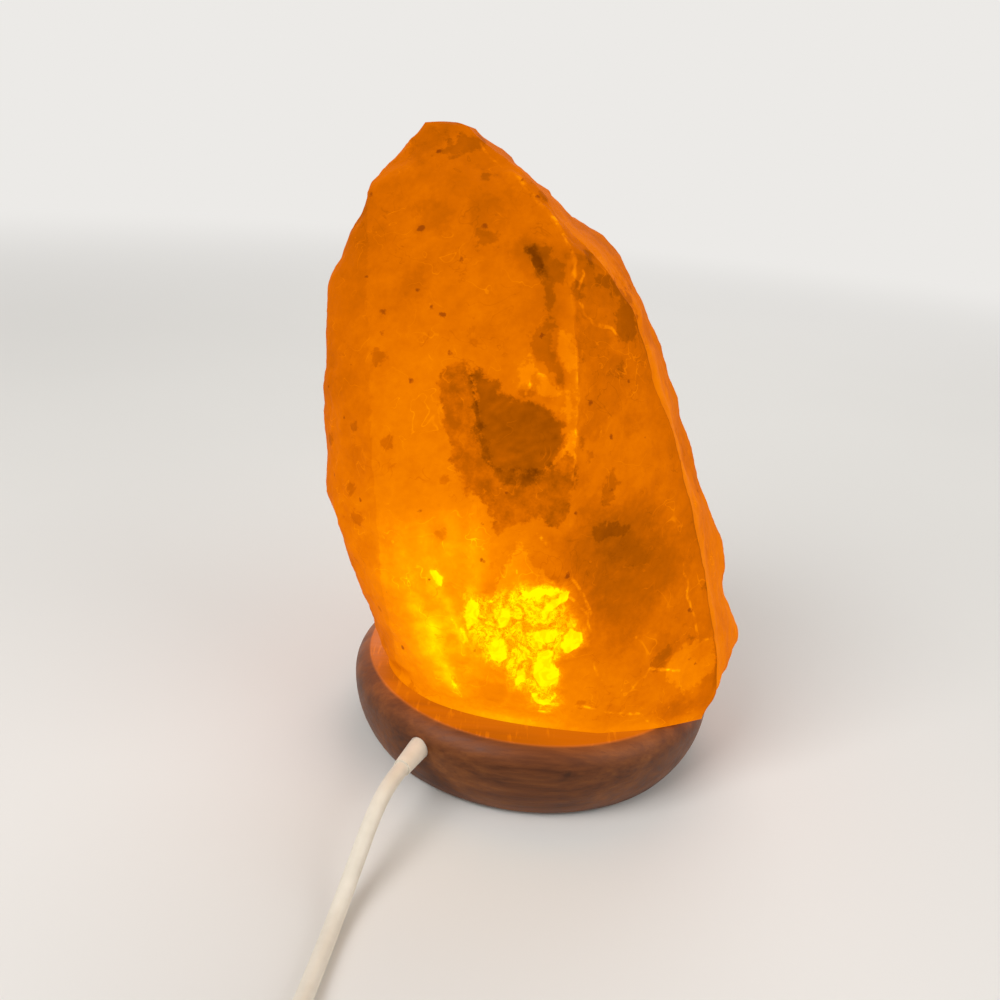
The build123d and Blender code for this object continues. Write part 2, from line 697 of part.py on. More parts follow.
def terminals():
    """Two brass blocks under the insert and the screws that pinch the cores in them."""
    top = insert_bottom - seat_gap
    bottom = top - terminal_height
    axis = terminal_axis_height()
    frame = Rot(0, 0, wire_entry_angle())
    brass = block(terminal_length, terminal_width, bottom, top)
    hole = Pos(terminal_length / 2, 0, axis) * Rot(0, 90, 0) * Cylinder(terminal_hole_radius, terminal_length)
    thread = rod(terminal_screw_radius + seat_gap, bottom - cut_over, axis)
    screw_top = axis - core_radius - seat_gap
    seat = bottom - seat_gap / 2
    screw = rod(terminal_screw_radius, seat - seat_gap / 2, screw_top)
    screw += rod(terminal_screw_head_radius, seat - terminal_screw_head_height, seat)
    blocks, screws = [], []
    for side in (-1, 1):
        place = frame * Pos(0, side * terminal_offset, 0)
        blocks.append(place * (brass - hole - thread))
        screws.append(place * screw)
    return blocks, screws


# ---- bulb ----------------------------------------------------------------------------------------------------
cap_bottom = bulb_tip_height + tip_contact_height + insulator_height
cap_top = cap_bottom + cap_length
bulb_top = bulb_tip_height + bulb_length
globe_height = bulb_top - bulb_radius  # of the globe's centre


def bulb_outline(shrink, bottom):
    """Half outline of the bulb's glass, moved inwards: neck, flare to the globe, and the globe's dome."""
    neck, globe = bulb_neck_radius - shrink, bulb_radius - shrink
    neck_top = cap_top + bulb_neck_rise
    shoulder = ((neck + globe) / 2 + bulb_shoulder_swell, (neck_top + globe_height) / 2)
    dome = globe * sqrt(0.5)
    outline = Polyline((0, bottom), (neck, bottom), (neck, neck_top))
    outline += ThreePointArc((neck, neck_top), shoulder, (globe, globe_height))
    outline += ThreePointArc((globe, globe_height), (dome, globe_height + dome), (0, globe_height + globe))
    outline += Line((0, globe_height + globe), (0, bottom))
    return revolve(Plane.XZ * make_face(outline), Axis.Z)


def bulb_glass():
    """Thin glass envelope, open at its neck."""
    bottom = cap_top - bulb_neck_depth
    return bulb_outline(0, bottom) - bulb_outline(bulb_glass_thickness, bottom - cut_over)


def bulb_cap():
    """Metal screw cap: turned-in foot, rolled ribs and a plain collar round the glass neck."""
    root = cap_crest_radius - thread_depth
    rib_top = cap_bottom + thread_pitch * thread_ribs
    ribs = ribbed(root - cap_wall, cap_wall, cap_bottom)
    foot = ring(insulator_radius - cap_lip_width, root, cap_bottom - cap_wall, cap_bottom)
    collar = turned(
        (root - cap_wall, rib_top),
        (root, rib_top),
        (cap_flare_radius, cap_top),
        (cap_flare_radius - cap_wall, cap_top),
    )
    return foot + ribs + collar


def cap_insulator():
    """Dark glass cone that keeps the tip contact apart from the screw cap."""
    top = cap_bottom - cap_wall - seat_gap / 2
    low = bulb_tip_height + tip_contact_height
    foot = tip_contact_radius + insulator_foot_step
    return turned((0, low), (foot, low), (insulator_radius - insulator_play, top), (0, top))


def tip_contact():
    """Soldered button in the middle of the cap."""
    top = bulb_tip_height + tip_contact_height
    middle = bulb_tip_height + tip_contact_height / 2
    return turned(
        (0, bulb_tip_height),
        (tip_contact_radius * tip_contact_chamfer, bulb_tip_height),
        (tip_contact_radius, middle),
        (tip_contact_radius, top),
        (0, top),
    )


stem_top = globe_height - stem_drop


def glass_stem():
    """Flared glass mount that closes the neck and carries the lead wires."""
    bottom = cap_top - bulb_neck_depth
    flare = bulb_neck_radius - bulb_glass_thickness - seat_gap
    return turned(
        (0, bottom),
        (flare, bottom),
        (flare, bottom + stem_flare_height),
        (stem_radius, bottom + stem_taper_height),
        (stem_radius, stem_top),
        (0, stem_top),
    )


def lead_wires():
    """Two wires that rise out of the stem and spread to the ends of the filament."""
    wires = []
    for side in (-1, 1):
        foot = (side * stem_radius / 2, 0, stem_top)
        knee = (side * stem_radius / 2, 0, stem_top + lead_foot_rise)
        tip = (side * filament_half_span, 0, globe_height)
        wires.append(tube(lead_radius, FilletPolyline(foot, knee, tip, radius=lead_bend_radius)))
    return wires


def filament():
    """Fine wire arched from one lead to the other."""
    rise = globe_height + lead_radius + filament_rise
    low = globe_height + lead_radius
    ends = [(side * filament_half_span, 0, low) for side in (-1, 1)]
    return tube(filament_radius, Wire(ThreePointArc(ends[0], (0, 0, rise), ends[1]).edges()))


# ---- coil and its ties ---------------------------------------------------------------------------------------
coil_turns = 2 * coil_turns_per_layer


def coil_point(turn):
    """Centre of the cord after so many turns: in along the lower layer, and out again along the upper one."""
    radius = coil_inner_radius + coil_pitch * abs(turn - coil_turns_per_layer)
    climb = min(max((turn - coil_turns_per_layer) / coil_climb_turns + 0.5, 0), 1)
    height = coil_low_height + coil_layer_rise * (0.5 - 0.5 * cos(pi * climb))
    angle = radians(coil_start_angle + 360 * turn)
    return Vector(coil_centre[0] + radius * cos(angle), coil_centre[1] + radius * sin(angle), height)


def coil_way(turn):
    """Direction of the coil there; its two ends run square to the radius and level."""
    if turn in (0, coil_turns):
        angle = radians(coil_start_angle + 360 * turn)
        return Vector(-sin(angle), cos(angle), 0)
    return (coil_point(turn + 0.01) - coil_point(turn - 0.01)).normalized()


def print_least_gap():
    """Print the least gap of the coil to itself, between points a quarter of a turn or more apart."""
    steps = 60
    points = [coil_point(k / steps) for k in range(int(coil_turns * steps) + 1)]
    least = min(
        (a - b).length
        for i, a in enumerate(points)
        for b in points[i + steps // 4 :]
    )
    print("coil: least gap to itself", round(least - 2 * cord_radius, 2))


def cord_coil():
    """Spare cord in one unbroken tube: quarter turns of two arcs each, with a straight lead at each end."""
    quarters = int(4 * coil_turns)
    stops = [coil_point(k / 4) for k in range(quarters + 1)]
    ways = [coil_way(k / 4) for k in range(quarters + 1)]
    lead = 2 * cord_radius
    edges = [Edge.make_line(stops[0] - ways[0] * lead, stops[0])]
    for k in range(quarters):
        edges += biarc(stops[k], ways[k], stops[k + 1], ways[k + 1])
    edges.append(Edge.make_line(stops[-1], stops[-1] + ways[-1] * lead))
    path = Wire(edges)
    solid = tube(cord_radius, path)
    print("coil length", round(path.length, 1), "volume", round(solid.volume))
    print("coil section times length", round(pi * cord_radius**2 * path.length))
    print_least_gap()
    return solid, path.length


def coil_ends():
    """The middles of the coil's two end faces."""
    lead = 2 * cord_radius
    return coil_point(0) - coil_way(0) * lead, coil_point(coil_turns) + coil_way(coil_turns) * lead


def coil_ties():
    """Flat bands round the bundle of turns; the coil stands on them."""
    inner = coil_inner_radius - cord_radius - tie_slack[0]
    outer = coil_outer_radius + cord_radius + tie_slack[1]
    top = coil_low_height + coil_layer_rise + cord_radius + seat_gap
    middle, height = (inner + outer) / 2, (tie_thickness + top) / 2
    width, corner = outer - inner, cord_radius / 2
    hole = RectangleRounded(width, top - tie_thickness, corner)
    band = RectangleRounded(width + 2 * tie_thickness, top + tie_thickness, corner + tie_thickness)
    face = Plane.XZ * Pos(middle, height) * (band - hole)
    tie = extrude(face, amount=tie_width / 2, both=True)
    return [Pos(*coil_centre, 0) * Rot(0, 0, angle) * tie for angle in tie_angles]


# ---- switch --------------------------------------------------------------------------------------------------
switch_frame = Pos(*switch_centre, 0) * Rot(0, 0, -90)
switch_middle = switch_height / 2
pin_height = switch_height - rocker_pin_depth
switch_screw_places = [Pos(side * switch_screw_offset, switch_width / 4 - 1, 0) for side in (-1, 1)]


def switch_block(shrink, bottom, top):
    """A slab of the switch's rounded outline, moved inwards."""
    outline = RectangleRounded(
        switch_length - 2 * shrink, switch_width - 2 * shrink, switch_corner_radius - shrink
    )
    return Pos(0, 0, bottom) * extrude(outline, amount=top - bottom)


def switch_base():
    """Lower half of the switch's case."""
    case = switch_block(0, 0, switch_middle)
    case = fillet(case.faces().sort_by(Axis.Z)[0].edges(), switch_edge_round)
    case -= switch_block(switch_wall, switch_wall, switch_middle + cut_over)
    pillar = rod(switch_screw_head_radius + switch_pillar_wall, switch_wall - joint_sink, switch_middle)
    recess = rod(switch_screw_head_radius + seat_gap, -cut_over, switch_middle - switch_screw_seat)
    hole = rod(switch_screw_radius + seat_gap, -cut_over, switch_middle + cut_over)
    for place in switch_screw_places:
        case = case + place * pillar - place * recess - place * hole
    return switch_frame * case


def cross_pin(radius):
    """A cylinder on the rocker's axis, as long as the pin."""
    length = rocker_width + 2 * (rocker_side_gap + switch_lug_thickness)
    return Pos(0, 0, pin_height) * Rot(90, 0, 0) * Cylinder(radius, length)


def switch_cover():
    """Upper half of the case, with the rocker's window and two lugs that carry its pin."""
    case = switch_block(0, switch_middle, switch_height)
    case = fillet(case.faces().sort_by(Axis.Z)[-1].edges(), switch_edge_round)
    ceiling = switch_height - switch_wall
    case -= switch_block(switch_wall, switch_middle - cut_over, ceiling)
    lug_inner = rocker_width / 2 + rocker_side_gap
    lug = block(switch_lug_length, switch_lug_thickness, pin_height - switch_lug_drop, ceiling + joint_sink)
    pillar = rod(switch_screw_head_radius + switch_pillar_wall, switch_middle, ceiling + joint_sink)
    hole = rod(switch_screw_radius + seat_gap, switch_middle - cut_over, switch_height - switch_screw_seat)
    for side, place in zip((-1, 1), switch_screw_places):
        case += Pos(0, side * (lug_inner + switch_lug_thickness / 2), 0) * lug
        case = case + place * pillar - place * hole
    window_length = rocker_length + 2 * rocker_end_gap
    case -= block(window_length, 2 * lug_inner, pin_height - window_depth, switch_height + cut_over)
    return switch_frame * (case - cross_pin(rocker_pin_radius + seat_gap))


def switch_rocker():
    """Rocker with a shallow valley on top and a foot below, tipped to its on side."""
    half = rocker_length / 2
    crown = rocker_rise + rocker_pin_depth
    (root_half, root_depth), (tip_half, tip_depth) = rocker_foot
    profile = Polyline(
        (-half, -rocker_edge_depth),
        (-root_half, -root_depth),
        (-tip_half, -tip_depth),
        (tip_half, -tip_depth),
        (root_half, -root_depth),
        (half, -rocker_edge_depth),
        (half, crown - rocker_end_drop),
        (0, crown - rocker_valley_drop),
        (-half, crown - rocker_end_drop),
        close=True,
    )
    body = extrude(Plane.XZ * make_face(profile), amount=rocker_width / 2, both=True)
    upright = body.edges().filter_by(Axis.Z).group_by(Axis.X)
    body = fillet(upright[0] + upright[-1], rocker_edge_round)
    body -= Rot(90, 0, 0) * Cylinder(rocker_pin_radius + rocker_pin_fit, rocker_width + 2 * cut_over)
    return switch_frame * Pos(0, 0, pin_height) * Rot(0, rocker_tilt, 0) * body


def switch_pin():
    """Steel pin through the rocker and the two lugs."""
    return switch_frame * cross_pin(rocker_pin_radius)


def switch_contacts():
    """Brass terminals on the floor of the case, either side of the rocker's foot."""
    length, width, height = switch_contact_size
    contact = block(length, width, switch_wall, switch_wall + height)
    screw_radius, screw_height = switch_contact_screw
    screw = rod(screw_radius, switch_wall + height, switch_wall + height + screw_height)
    spots = GridLocations(2 * switch_contact_offset, 2 * switch_contact_spread, 2, 2)
    return [switch_frame * spot * (contact + screw) for spot in spots]


def switch_screws():
    """Screws that close the case from below."""
    seat = switch_middle - switch_screw_seat
    slot_width, slot_depth = switch_screw_slot
    head_bottom = seat - switch_screw_head_height
    shank = rod(switch_screw_radius, seat, switch_height - switch_screw_seat - switch_screw_tip_gap)
    head = rod(switch_screw_head_radius, head_bottom, seat)
    slot_length = 2 * (switch_screw_head_radius + cut_over)
    slot = block(slot_length, slot_width, head_bottom - cut_over, head_bottom + slot_depth)
    return [switch_frame * place * (shank + head - slot) for place in switch_screw_places]


# ---- plug ----------------------------------------------------------------------------------------------------
plug_frame = Pos(plug_start[0], plug_start[1], plug_axis_height) * Rot(0, 90, 0) * Rot(0, 0, 90)
plug_face = plug_relief_length + plug_shoulder_length + plug_body_length


def plug_pin_places():
    return [Pos(side * plug_pin_spacing / 2, 0, 0) for side in (-1, 1)]


def plug_section(height, width, thickness, corner):
    return Pos(0, 0, height) * RectangleRounded(width, thickness, corner)


def plug_body():
    """Flat two-pin plug: a ribbed taper round the cord that widens into the grip."""
    shoulder = plug_relief_length + plug_shoulder_length
    neck = 2 * (plug_relief_radius + plug_neck_step)
    grip = loft(
        [
            plug_section(plug_relief_length, neck, neck, neck / 2 - 0.05),
            plug_section(shoulder, plug_width, plug_thickness, plug_edge_radius),
            plug_section(plug_face, plug_face_width, plug_thickness, plug_edge_radius),
        ],
        ruled=True,
    )
    wide = plug_relief_radius + plug_relief_flare
    taper = turned((0, 0), (plug_relief_radius, 0), (wide, plug_relief_length), (0, plug_relief_length))
    spacing = plug_relief_length / (plug_relief_grooves + 1)
    groove = ring(plug_groove_core, wide + cut_over, -plug_groove_width / 2, plug_groove_width / 2)
    taper -= [Pos(0, 0, k * spacing) * groove for k in range(1, plug_relief_grooves + 1)]
    hole = rod(plug_pin_core_radius + seat_gap, plug_face - plug_pin_grip, plug_face + cut_over)
    return plug_frame * (grip + taper - [place * hole for place in plug_pin_places()])


def plug_pins():
    """Round pins with a rounded tip; the half next to the plug is thinner, under its sleeve."""
    tip = plug_face + plug_pin_length
    shoulder = plug_face + plug_sleeve_length
    pin = turned(
        (0, plug_face - plug_pin_grip),
        (plug_pin_core_radius, plug_face - plug_pin_grip),
        (plug_pin_core_radius, shoulder),
        (plug_pin_radius, shoulder),
        (plug_pin_radius, tip - plug_pin_tip_chamfer),
        (plug_pin_radius - plug_pin_tip_chamfer, tip),
        (0, tip),
    )
    return [plug_frame * place * pin for place in plug_pin_places()]


def pin_sleeves():
    """Insulating sleeves on the half of each pin next to the plug."""
    play = seat_gap / 2
    end = plug_face + plug_sleeve_length - play
    sleeve = ring(plug_pin_core_radius + play, plug_pin_radius, plug_face, end)
    return [plug_frame * place * sleeve for place in plug_pin_places()]


# ---- the whole lamp ------------------------------------------------------------------------------------------
def main():
    os.makedirs("parts", exist_ok=True)

    save("salt_crystal", salt_crystal())
    save("wooden_base", wooden_base())
    save("foot_pads", *foot_pads())
    screws, washers = crystal_screws()
    save("crystal_screws", *screws)
    save("screw_washers", *washers)

    save("cord_bush", cord_bush())
    save("cord_entry", cord_entry())
    save("core_wires", *core_wires())

    save("holder_cap", holder_cap())
    save("holder_body", holder_body())
    save("holder_ring", holder_ring())
    save("spring_clip", spring_clip())
    save("holder_insert", holder_insert())
    save("screw_shell", screw_shell())
    save("centre_contact", centre_contact())
    blocks, pinch_screws = terminals()
    save("terminal_blocks", *blocks)
    save("terminal_screws", *pinch_screws)

    save("bulb_glass", bulb_glass())
    save("bulb_cap", bulb_cap())
    save("cap_insulator", cap_insulator())
    save("tip_contact", tip_contact())
    save("glass_stem", glass_stem())
    save("lead_wires", *lead_wires())
    save("filament", filament())

    nose = cord_exit().origin + cord_exit().z_dir * bush_outside
    switch_near = (switch_centre[0], switch_centre[1] + switch_length / 2, switch_middle)
    switch_far = (switch_centre[0], switch_centre[1] - switch_length / 2, switch_middle)
    coil_in, coil_out = (tuple(end) for end in coil_ends())
    plug_end = (plug_start[0], plug_start[1], plug_axis_height)
    lead, lead_length = free_cord("cord_lead", [tuple(nose), *cord_lead_route, switch_near])
    link, link_length = free_cord("cord_link", [switch_far, *cord_link_route, coil_in])
    tail, tail_length = free_cord("cord_tail", [coil_out, *cord_tail_route, plug_end])
    coil, coil_length = cord_coil()
    print("whole cord", round(lead_length + switch_length + link_length + coil_length + tail_length))
    save("cord_lead", lead)
    save("cord_link", link)
    save("cord_coil", coil)
    save("cord_tail", tail)
    save("coil_ties", *coil_ties())

    save("switch_base", switch_base())
    save("switch_cover", switch_cover())
    save("switch_rocker", switch_rocker())
    save("switch_pin", switch_pin())
    save("switch_contacts", *switch_contacts())
    save("switch_screws", *switch_screws())

    save("plug_body", plug_body())
    save("plug_pins", *plug_pins())
    save("pin_sleeves", *pin_sleeves())


main()
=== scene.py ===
"""Salt crystal lamp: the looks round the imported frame. Metres in Blender; sizes here are in millimetres."""
import json
import math

import bpy
import numpy as np
from mathutils import Matrix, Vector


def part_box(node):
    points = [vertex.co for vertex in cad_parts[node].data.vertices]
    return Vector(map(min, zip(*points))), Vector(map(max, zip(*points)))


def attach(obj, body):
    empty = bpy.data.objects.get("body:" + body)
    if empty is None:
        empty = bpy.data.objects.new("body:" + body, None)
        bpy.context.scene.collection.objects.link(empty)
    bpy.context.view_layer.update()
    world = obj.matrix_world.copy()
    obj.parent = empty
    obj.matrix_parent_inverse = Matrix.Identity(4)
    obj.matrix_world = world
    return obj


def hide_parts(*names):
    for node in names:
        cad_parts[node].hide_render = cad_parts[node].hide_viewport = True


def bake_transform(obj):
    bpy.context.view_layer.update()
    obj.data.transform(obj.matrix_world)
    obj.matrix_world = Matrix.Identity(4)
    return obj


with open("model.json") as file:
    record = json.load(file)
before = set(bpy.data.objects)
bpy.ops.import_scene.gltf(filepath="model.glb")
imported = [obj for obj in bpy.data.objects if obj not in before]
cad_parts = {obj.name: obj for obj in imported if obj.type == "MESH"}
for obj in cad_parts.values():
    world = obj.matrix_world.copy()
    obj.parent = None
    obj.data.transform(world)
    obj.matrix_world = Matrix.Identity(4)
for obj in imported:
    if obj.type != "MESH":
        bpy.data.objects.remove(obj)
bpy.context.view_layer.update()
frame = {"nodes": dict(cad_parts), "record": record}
nodes = frame["nodes"]

MM = 0.001


def top_of(node):
    """Height of a node's highest point, in millimetres."""
    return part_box(node)[1].z / MM


base_top = top_of("wooden_base")

# ---- crystal's outline ---------------------------------------------------------------------------
# The crystal's outline at each height above the base: its left and right sides, the sharp ridge down its
# front, the edge of its right-hand bevel, and how far back it reaches. All but the last are (x, y) places.
# The rows repeat the part's. They rest on another program's figures for the photo's outline, changed by hand.
crystal_sections = (
    # height, left side,      right side,    front ridge,    bevel edge,     back
    (0.0, (-52.0, -8.0), (68.0, -6.0), (22.0, -50.5), (57.0, -37.0), 46.0),
    (9.0, (-57.5, -9.0), (78.0, 6.0), (13.0, -54.0), (62.0, -36.0), 49.0),
    (24.0, (-60.5, -10.0), (71.5, 8.0), (4.0, -56.0), (60.5, -33.0), 52.0),
    (45.0, (-68.8, -10.0), (65.5, 8.0), (3.0, -57.0), (54.5, -31.5), 54.0),
    (66.0, (-76.0, -10.0), (55.5, 8.0), (3.2, -55.5), (47.5, -30.0), 54.0),
    (90.0, (-78.5, -10.0), (44.5, 8.0), (3.6, -51.5), (38.8, -28.5), 52.0),
    (112.0, (-78.5, -10.0), (35.6, 7.0), (2.8, -46.0), (28.0, -27.0), 48.0),
    (134.0, (-77.0, -9.0), (24.0, 6.0), (-0.8, -38.0), (19.0, -25.5), 41.0),
    (150.0, (-71.0, -7.0), (13.0, 5.0), (-4.5, -32.0), (5.0, -25.5), 34.0),
    (157.0, (-67.5, -6.0), (-1.5, 4.0), (-9.0, -27.5), (-5.5, -22.5), 29.5),
    (166.0, (-64.0, -5.0), (-11.0, 3.0), (-15.5, -22.0), (-12.5, -18.0), 24.0),
    (176.0, (-55.5, -3.0), (-25.5, 1.0), (-30.0, -10.0), (-27.5, -7.5), 14.0),
    (181.5, (-50.0, -1.0), (-35.5, 0.0), (-40.0, -5.0), (-37.5, -3.5), 6.0),
)
squareness = 0.8
face_bulge = 1.5
back_chips = (1.0, 0.96, 0.95, 1.0, 1.02, 0.97, 0.96, 1.02, 0.99, 0.94, 0.96, 1.0)
# Broad hollows where the salt has split away: middle as (x, y, height above the base), reach and depth.
# Where the depth is below 0, the salt swells out.
crystal_hollows = (
    ((-62.0, -33.0, 118.0), 24.0, 1.5),
    ((-35.0, -47.0, 92.0), 24.0, -1.1),
    ((-46.0, -24.0, 150.0), 22.0, 1.4),
    ((-52.0, -42.0, 58.0), 24.0, -1.1),
    ((-30.0, -52.0, 34.0), 22.0, 1.0),
    ((-50.0, -36.0, 14.0), 22.0, 1.4),
    ((-24.0, -28.0, 158.0), 18.0, -0.8),
    ((-68.0, -24.0, 84.0), 20.0, 1.2),
    ((22.0, -48.0, 60.0), 24.0, 1.5),
    ((16.0, -38.0, 104.0), 22.0, 1.2),
    ((38.0, -44.0, 20.0), 22.0, -0.9),
    ((10.0, -32.0, 135.0), 18.0, 1.0),
    ((60.0, -14.0, 40.0), 20.0, 1.5),
    ((42.0, -12.0, 84.0), 20.0, 1.4),
    ((54.0, 34.0, 28.0), 28.0, 2.4),
    ((32.0, 40.0, 72.0), 28.0, -1.6),
    ((16.0, 36.0, 110.0), 26.0, 2.2),
    ((-6.0, 26.0, 146.0), 22.0, 1.8),
    ((-8.0, 52.0, 46.0), 30.0, 2.4),
    ((-30.0, 50.0, 92.0), 28.0, -1.6),
    ((-34.0, 38.0, 130.0), 26.0, 2.4),
    ((-40.0, 20.0, 164.0), 20.0, 1.4),
    ((-56.0, 36.0, 44.0), 28.0, 2.0),
    ((-64.0, 30.0, 84.0), 26.0, -1.4),
    ((-62.0, 26.0, 122.0), 26.0, 2.2),
    ((12.0, 48.0, 10.0), 24.0, 1.6),
    ((-40.0, 42.0, 8.0), 24.0, 1.6),
)
bore_radius = 24.5
bore_depth = 72.0
drill_point = 9.0
crystal_height = crystal_sections[-1][0]

left_columns, face_columns, bevel_columns, back_columns = 124, 100, 30, 92
outside_rows = 266
soft_break = 3.0  # the sections' breaks are averaged over this much height either way

# ---- marks on the crystal's front ----------------------------------------------------------------
# Most places of the marks, paths, streaks and pits were worked out by another program, not here: it laid
# points typed as pixels of the photo on the crystal, and its millimetres were pasted in, rounded, and partly
# changed by hand. First come outlines of (x, height above the base).
mud_patch = (
    (-29, 115), (-26, 115), (-22, 113), (-20, 110), (-14, 109), (-9, 108), (-5, 106), (-1, 103), (0, 98),
    (-2, 93), (-5, 88), (-10, 84), (-16, 84), (-21, 88), (-25, 95), (-27, 102), (-28, 109),
)
crumbly_patches = (
    ((-38, 112), (-35, 118), (-31, 118), (-28, 112), (-25, 102), (-21, 90), (-22, 78), (-27, 80),
     (-33, 90), (-37, 102)),
    ((-25, 90), (-14, 88), (-4, 90), (1, 95), (5, 91), (4, 83), (3, 77), (0, 73), (-7, 75), (-13, 72),
     (-17, 68), (-21, 76)),
)
stain_patches = (
    ((-16, 150), (-10, 151), (-6, 147), (-4, 142), (-8, 141), (-12, 143), (-14, 147)),
    ((-11, 142), (-7, 142), (-7, 135), (-5, 128), (-5, 123), (-2, 118), (-2, 112), (-5, 116), (-10, 120),
     (-13, 124), (-11, 129), (-8, 130), (-9, 136)),
    ((12, 134), (17, 136), (20, 131), (20, 125), (14, 126)),
    ((6, 145), (12, 142), (18, 137), (18, 134), (11, 139), (5, 143)),
    ((-45, 174), (-43, 176), (-37, 179), (-33, 180), (-31, 178), (-33, 176), (-37, 174), (-42, 173)),
    ((-32, 154), (-28, 153), (-24, 154), (-25, 149), (-28, 150), (-31, 149)),
    ((13, 80), (14, 85), (16, 89), (18, 85), (18, 80), (15, 78)),
    ((12, 71), (17, 73), (23, 70), (22, 67), (13, 68)),
    ((36, 24), (38, 28), (43, 30), (43, 25), (40, 21)),
)
faint_patches = (
    ((11, 68), (14, 72), (18, 72), (27, 67), (33, 59), (28, 56), (17, 60)),
    ((-56, 173), (-50, 181), (-44, 180), (-45, 174), (-50, 171)),
    ((1, 146), (3, 148), (6, 145), (12, 142), (18, 137), (20, 133), (20, 125), (15, 126), (11, 130),
     (6, 131), (2, 134), (0, 140)),
    ((-33, 171), (-29, 172), (-24, 166), (-22, 160), (-19, 160), (-21, 165), (-25, 170)),
    ((-50, 158), (-44, 161), (-39, 157), (-42, 151), (-48, 151)),
    ((0, 128), (4, 126), (14, 122), (20, 112), (14, 104), (6, 108), (4, 118)),
    ((4, 108), (10, 112), (13, 106), (9, 98), (5, 100)),
)
shaded_face = (
    (2, 68), (6, 72), (11, 75), (16, 77), (22, 79), (30, 78), (33, 70), (42, 61), (42, 52), (37, 47),
    (31, 42),
    (26, 30), (21, 36), (14, 48), (8, 58),
)
dark_core = ((-17, 151), (-14, 151), (-11, 147), (-9, 143), (-12, 144), (-15, 148))
clear_flakes = (
    ((-17, 47), (-15, 56), (-13, 62), (-11, 67), (-8, 64), (-3, 59), (2, 53), (-3, 49), (-10, 49)),
    ((-7, 128), (-2, 129), (1, 124), (2, 118), (-1, 117), (-4, 121)),
    ((-15, 117), (-12, 121), (-10, 117), (-12, 110), (-16, 112)),
    ((-9, 116), (-5, 115), (-2, 112), (-6, 109), (-9, 112)),
    ((0, 99), (3, 102), (5, 97), (4, 90), (0, 87), (-2, 90)),
    ((0, 113), (2, 112), (2, 105), (0, 104), (-1, 108)),
    ((42, 25), (50, 30), (58, 29), (60, 18), (50, 12), (43, 18)),
)
crackled_face = (
    (-25, 47), (-18, 47), (-10, 52), (-2, 54), (5, 53), (7, 45), (12, 38), (12, 33), (7, 30), (4, 27),
    (6, 23),
    (6, 17), (7, 11), (3, 8), (-1, 10), (-3, 16), (-8, 16), (-10, 22), (-16, 24), (-19, 27), (-20, 32),
    (-24, 34),
)
bright_facets = (
    ((-2, 25), (-1, 30), (1, 32), (3, 31), (3, 28), (6, 25), (6, 21), (3, 18), (0, 19), (-2, 22)),
    ((6, 33), (7, 37), (8, 39), (12, 38), (12, 34), (11, 32), (8, 30), (7, 31)),
    ((-17, 30), (-16, 32), (-13, 33), (-12, 31), (-11, 27), (-13, 25), (-16, 26)),
    ((-15, 40), (-14, 42), (-14, 45), (-12, 46), (-11, 42), (-12, 39), (-14, 37)),
    ((-2, 46), (-1, 48), (2, 50), (4, 52), (6, 52), (6, 49), (4, 48), (1, 46), (-1, 42), (-2, 42)),
    ((-25, 46), (-23, 47), (-21, 45), (-21, 41), (-22, 38), (-24, 35), (-25, 39)),
    ((-10, 52), (-7, 51), (-3, 53), (2, 53), (5, 52), (3, 51), (-1, 51), (-5, 50), (-7, 49), (-9, 47),
     (-8, 50)),
    ((-5, 37), (-1, 39), (3, 40), (5, 38), (4, 36), (1, 34), (-2, 34), (-4, 36)),
    ((-8, 19), (-7, 23), (-5, 25), (-4, 22), (-5, 19), (-7, 17)),
    ((-2, 14), (-1, 16), (1, 13), (4, 13), (6, 17), (6, 15), (4, 11), (1, 10)),
)
bright_slivers = (
    ((-30, 39), (-28, 37), (-26, 32), (-24, 28), (-26, 30), (-28, 34)),
    ((-27, 37), (-25, 34), (-23, 30), (-25, 30), (-26, 33)),
    ((-37, 54), (-35, 55), (-32, 52), (-33, 48), (-35, 49), (-36, 51)),
    ((-29, 18), (-27, 15), (-25, 11), (-27, 11), (-28, 14)),
)
back_crackle = ((-8, 45), (4, 48), (12, 40), (10, 28), (0, 22), (-9, 28))

